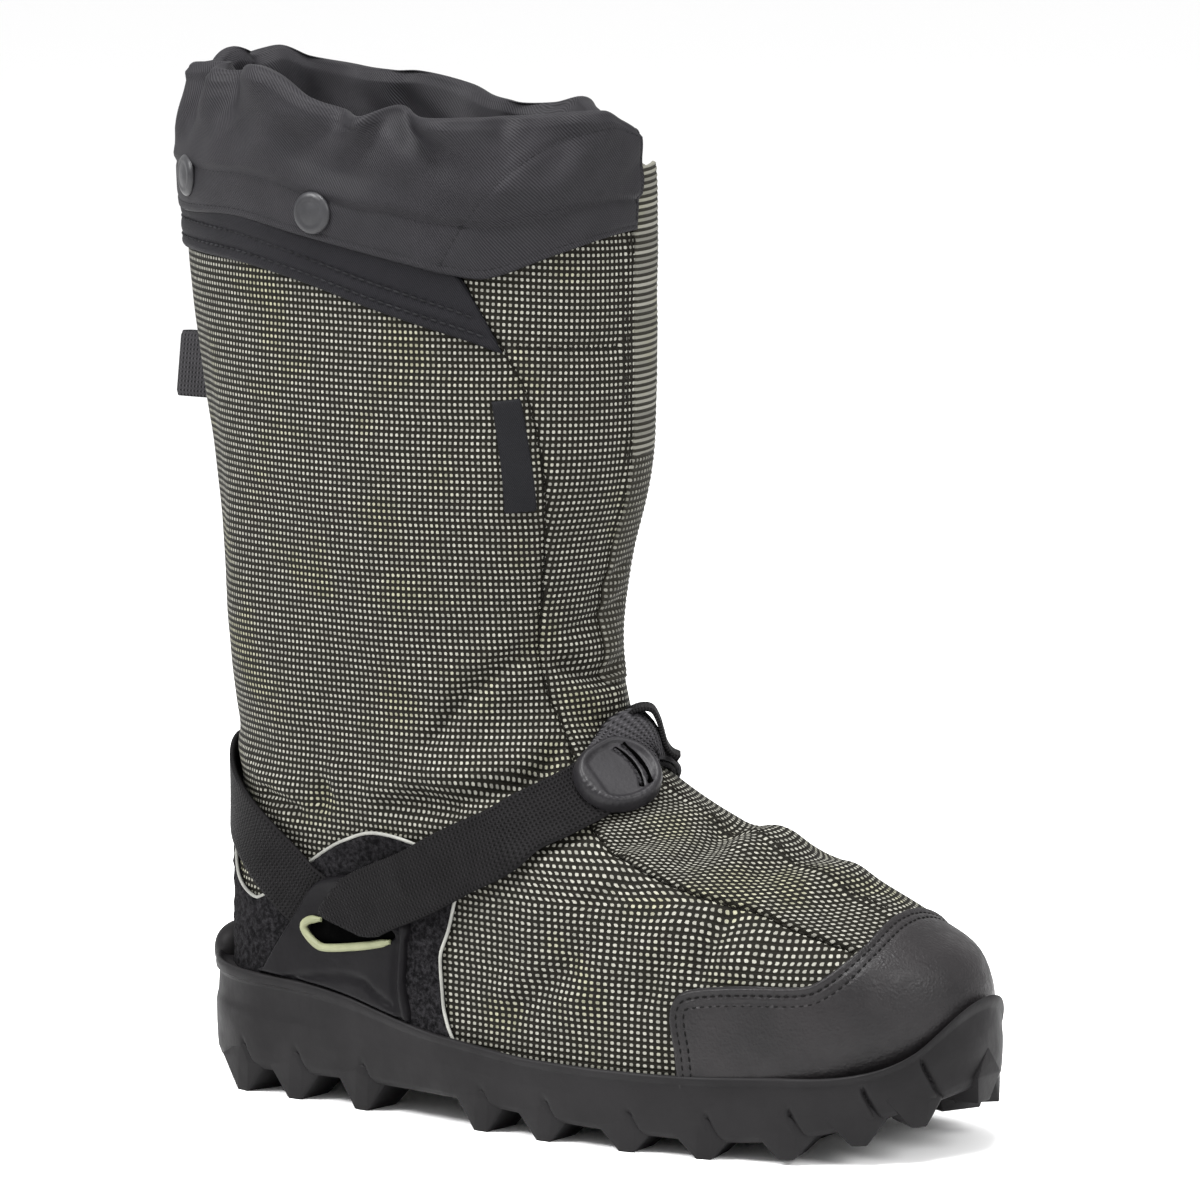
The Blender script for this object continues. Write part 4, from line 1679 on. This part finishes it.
def side_lug(along, side, rise):
    """A tooth with a broad rear face, a ridge, and a front face that falls away inward."""
    edge, forward, inward = side_place(along, side)
    tip = float(spring_at(edge[0]))
    base = float(underside_at(edge[0])) + 3
    high = tip + lug_height * (rise + 0.2)

    def at(across, ahead, z):
        point = edge + inward * across + forward * ahead
        point[2] = z
        return point

    half = lug_width / 2
    points = [
        at(0.35, -0.5, min(base + 7, high)), at(0.2, -1.5, base + 1), at(0.5, -2.2, tip), at(0.7, 3.2, tip),
        at(0.9, -half, base), at(2.6, -half, base + 2), at(0.6, half * 0.33, base - 1.5),
        at(2.5, half * 0.8, base - 0.5), at(4.6, half, base + 0.5), at(lug_width * 0.7, -2.5, tip),
        at(lug_width * 0.7, 3.2, tip), at(lug_width, -half, base), at(lug_width, half, base),
    ]
    return hull(points)


def middle_lug(along, half):
    x = sole_back + along * sole_length
    middle = float(last_curve(x))
    points = []
    for end in (-1, 1):
        for side in (-1, 1):
            points.append([x + end * lug_tip / 2, middle + side * half * ball_width, float(spring_at(x))])
            points.append([x + end * lug_tip, middle + side * (half * ball_width + 3), float(underside_at(x)) + 2])
    return hull(points)


def end_lug(front):
    edge = sole_outline(np.array(0.5 if front else 0.0), 0.0)
    inward = -1 if front else 1
    tip = float(spring_at(edge[0]))
    points = []
    for side in (-1, 1):
        points.append([edge[0] + inward * 1.5, edge[1] + side * lug_tip / 2, tip])
        points.append([edge[0] + inward * 14, edge[1] + side * lug_tip / 2, tip])
        points.append([edge[0] - inward * 0.6, edge[1] + side * lug_tip, tip + lug_height])
        points.append([edge[0] + inward * 20, edge[1] + side * lug_tip, tip + lug_height])
    points.append([edge[0], edge[1], tip + lug_height * 2])
    return hull(points)


def slit_depth(points):
    """Slanted slits and the moulded step in the sole's side wall."""
    out = np.zeros(len(points))
    for along, rise in lug_rows:
        for side in (-1, 1):
            edge, forward, inward = side_place(along, side)
            base = float(underside_at(edge[0]))
            high = float(spring_at(edge[0])) + lug_height * (rise + 0.35)
            ahead = (points - edge) @ forward
            near = (np.abs(ahead) < 16) & (np.abs((points - edge) @ inward) < 14)
            spots = np.stack([ahead, points[:, 2]], 1)[near]
            line = np.array([[0.6, high], [2.6, high - 5], [6.8, high - 12], [9.5, high - 16]])
            gap, share = distance_to(spots, line)
            out[near] = np.maximum(out[near], 1.9 * np.exp(-((gap / 0.85) ** 2)) * np.clip(share * 5, 0.15, 1))
    return out


def sole_body():
    columns = 1100
    turn = np.linspace(0, 1, columns, endpoint=False)
    # Share of the way from the underside to the rim, and inset
    side_rows = [
        [0.0, 9.0], [0.0, 5.0], [0.0, 2.6], [0.03, 1.5], [0.1, 0.6], [0.2, 0.3], [0.34, 0.1], [0.45, 0.0],
        [0.55, 0.0], [0.66, 0.2], [0.76, 0.4], [0.82, 0.48], [0.855, 0.5], [0.875, 0.25], [0.9, -0.12],
        [0.935, -0.28], [0.97, -0.18], [0.992, 0.25], [1.0, 0.9], [0.995, 1.6], [0.98, 2.2], [0.965, 3.0],
        [0.96, 6.0], [0.955, 14.0],
    ]
    side_rows = np.array(side_rows)
    fine = np.concatenate([np.linspace(i, i + 1, 2 if i < 3 or i > 12 else 4, endpoint=False)
                           for i in range(len(side_rows) - 1)] + [[len(side_rows) - 1]])
    side_rows = np.stack([np.interp(fine, np.arange(len(side_rows)), side_rows[:, k]) for k in (0, 1)], 1)
    rings = []
    for share, inset in side_rows:
        ring = sole_outline(turn, np.full(columns, inset))
        foot = underside_at(ring[:, 0])
        rim = rim_at(ring[:, 0])
        ring[:, 2] = foot + share * (rim - foot)
        if 0.02 < share < 0.9:
            # The moulded step on the heel's side
            heel = 1 - np.clip((ring[:, 0] - 45) / 22, 0, 1)
            line = foot + 0.62 * (rim - foot) - 0.04 * np.maximum(ring[:, 0] - 10, 0)
            step = 0.55 * heel / (1 + np.exp(-(ring[:, 2] - line) / 0.5))
            ring = sole_outline(turn, inset + slit_depth(ring) + step) * [1, 1, 0] + ring * [0, 0, 1]
        rings.append(ring)
    for share in (0.75, 0.5, 0.25, 0.0):
        ring = sole_outline(turn, np.full(columns, 9.0))
        middle_x = sole_back + sole_length * (0.5 - 0.5 * 0.9 * np.cos(turn * 2 * np.pi))
        middle = np.stack([middle_x, last_curve(middle_x), np.zeros(columns)], 1)
        ring = middle + (ring - middle) * share
        ring[:, 2] = underside_at(ring[:, 0])
        rings.insert(0, ring)
    points = np.stack(rings)
    n = len(rings)
    faces = grid_faces(n, columns, True).tolist()
    return points.reshape(-1, 3), faces


def heel_kick():
    """Ledge at the back of the heel."""
    centre = np.array([sole_back + 4.6, 0.0, rim_height - 0.5])
    lon = np.linspace(0, 2 * np.pi, 48, endpoint=False)
    lat = np.linspace(-np.pi / 2 * 0.98, np.pi / 2 * 0.98, 28)
    rows = []
    for a in lat:
        c, s = math.cos(a), math.sin(a)
        squash = np.sign(s) * abs(s) ** 0.85
        rows.append(np.column_stack([centre[0] + 8.6 * c * np.cos(lon), 15.5 * c**0.8 * np.sin(lon),
                                     np.full(48, centre[2] + 10.0 * squash)]))
    faces = grid_faces(28, 48, True).tolist() + [list(range(48))[::-1], [27 * 48 + k for k in range(48)]]
    return np.vstack(rows), faces


sole_parts = [sole_body(), heel_kick(), end_lug(False), end_lug(True)]
for along, rise in lug_rows:
    sole_parts += [side_lug(along, -1, rise), side_lug(along, 1, rise)]
for along, half in middle_lug_rows:
    sole_parts.append(middle_lug(along, half))
sole = piece("sole_rubber", *joined(sole_parts), rubber, ["outsole"], "rubber", smooth=False)
sole_mesh = bmesh.new()
sole_mesh.from_mesh(sole.data)
bmesh.ops.recalc_face_normals(sole_mesh, faces=sole_mesh.faces)
for face in sole_mesh.faces:
    face.smooth = True
for edge in sole_mesh.edges:
    edge.smooth = len(edge.link_faces) < 2 or edge.calc_face_angle(0) < 0.6
sole_mesh.to_mesh(sole.data)
sole_mesh.free()

def insole_piece():
    """Felt pad on the foot bed, with its edge turned up a little."""
    columns = 220
    turn = np.linspace(0, 1, columns, endpoint=False)
    away = outward(turn, np.full(columns, 0.01)) * [1, 1, 0]
    edge = bare(turn, 0.0) - unit(away) * 2.7
    middle_x = edge[:, 0].mean() + (edge[:, 0] - edge[:, 0].mean()) * 0.9
    middle = np.stack([middle_x, last_curve(middle_x), edge[:, 2]], 1)
    rows = [[s, 3.6 + 1.4 * s**5] for s in (0, 0.12, 0.25, 0.4, 0.55, 0.7, 0.8, 0.88, 0.93, 0.96, 0.98)]
    rows += [[0.993, 4.6], [1.0, 3.9], [1.0, 1.4], [0.993, 0.7], [0.97, 0.4], [0.6, 0.4], [0.25, 0.4], [0, 0.4]]
    rings = []
    for share, rise in rows:
        rings.append(middle + (edge - middle) * share + [0, 0, rise])
    ring = np.stack(rings)
    ring[..., 2] += 0.25 * np.sin(ring[..., 0] / 21) * np.sin(ring[..., 1] / 13)
    faces = grid_faces(len(rows), columns, True, flip=True).tolist()
    pad = piece("insole_felt", ring.reshape(-1, 3), faces, fleece, ["insole"], "insole_board",
                np.tile([0.0, 0.0], (ring.shape[0] * columns, 1)))
    mesh = bmesh.new()
    mesh.from_mesh(pad.data)
    bmesh.ops.remove_doubles(mesh, verts=mesh.verts, dist=1e-6)
    bmesh.ops.recalc_face_normals(mesh, faces=mesh.faces)
    mesh.to_mesh(pad.data)
    mesh.free()


insole_piece()

# Floor, light and camera
floor_size = 30.0
floor_mesh = bpy.data.meshes.new("floor")
floor_mesh.from_pydata([(-floor_size, -floor_size, 0), (floor_size, -floor_size, 0), (floor_size, floor_size, 0),
                        (-floor_size, floor_size, 0)], [], [(0, 1, 2, 3)])
floor = bpy.data.objects.new("floor", floor_mesh)
bpy.context.scene.collection.objects.link(floor)
floor_paint = bpy.data.materials.new("floor_paint")
floor_paint.use_nodes = True
floor_paint.node_tree.nodes["Principled BSDF"].inputs["Base Color"].default_value = (0.96, 0.96, 0.96, 1)
floor_paint.node_tree.nodes["Principled BSDF"].inputs["Roughness"].default_value = 0.9
floor_mesh.materials.append(floor_paint)

world = bpy.data.worlds.new("studio")
world.use_nodes = True
world.node_tree.nodes["Background"].inputs["Color"].default_value = (1.0, 1.0, 1.0, 1)
world.node_tree.nodes["Background"].inputs["Strength"].default_value = 1.0
bpy.context.scene.world = world
bpy.context.scene.view_settings.view_transform = "Standard"


def soft_light(name, azimuth, elevation, distance, size, power):
    data = bpy.data.lights.new(name, "AREA")
    data.shape = "DISK"
    data.size = size
    data.energy = power
    light = bpy.data.objects.new(name, data)
    a, e = math.radians(azimuth), math.radians(elevation)
    back = Vector((math.sin(a) * math.cos(e), -math.cos(a) * math.cos(e), math.sin(e)))
    light.location = Vector((0, 0, 0.15)) + back * distance
    light.rotation_mode = "QUATERNION"
    light.rotation_quaternion = back.to_track_quat("Z", "Y")
    bpy.context.scene.collection.objects.link(light)


soft_light("key", -34, 44, 1.5, 0.6, 31)
soft_light("top", 30, 76, 1.5, 0.7, 39)
soft_light("fill", 78, 30, 1.8, 0.9, 22)

camera_azimuth = math.radians(32)
camera_elevation = math.radians(8.2)
camera_distance = 3.0
aim = Vector(((np.array([132.98, 32.76, 180.0]) + origin_shift) / 1000).tolist())
camera_data = bpy.data.cameras.new("camera")
camera_data.sensor_width = 36
camera_data.lens = 249.3
camera_data.clip_end = 100
camera = bpy.data.objects.new("camera", camera_data)
bpy.context.scene.collection.objects.link(camera)
camera_back = Vector((math.sin(camera_azimuth) * math.cos(camera_elevation),
                      -math.cos(camera_azimuth) * math.cos(camera_elevation), math.sin(camera_elevation)))
camera.location = aim + camera_back * camera_distance
camera.rotation_mode = "QUATERNION"
camera.rotation_quaternion = (-camera_back).to_track_quat("-Z", "Y")
bpy.context.scene.camera = camera
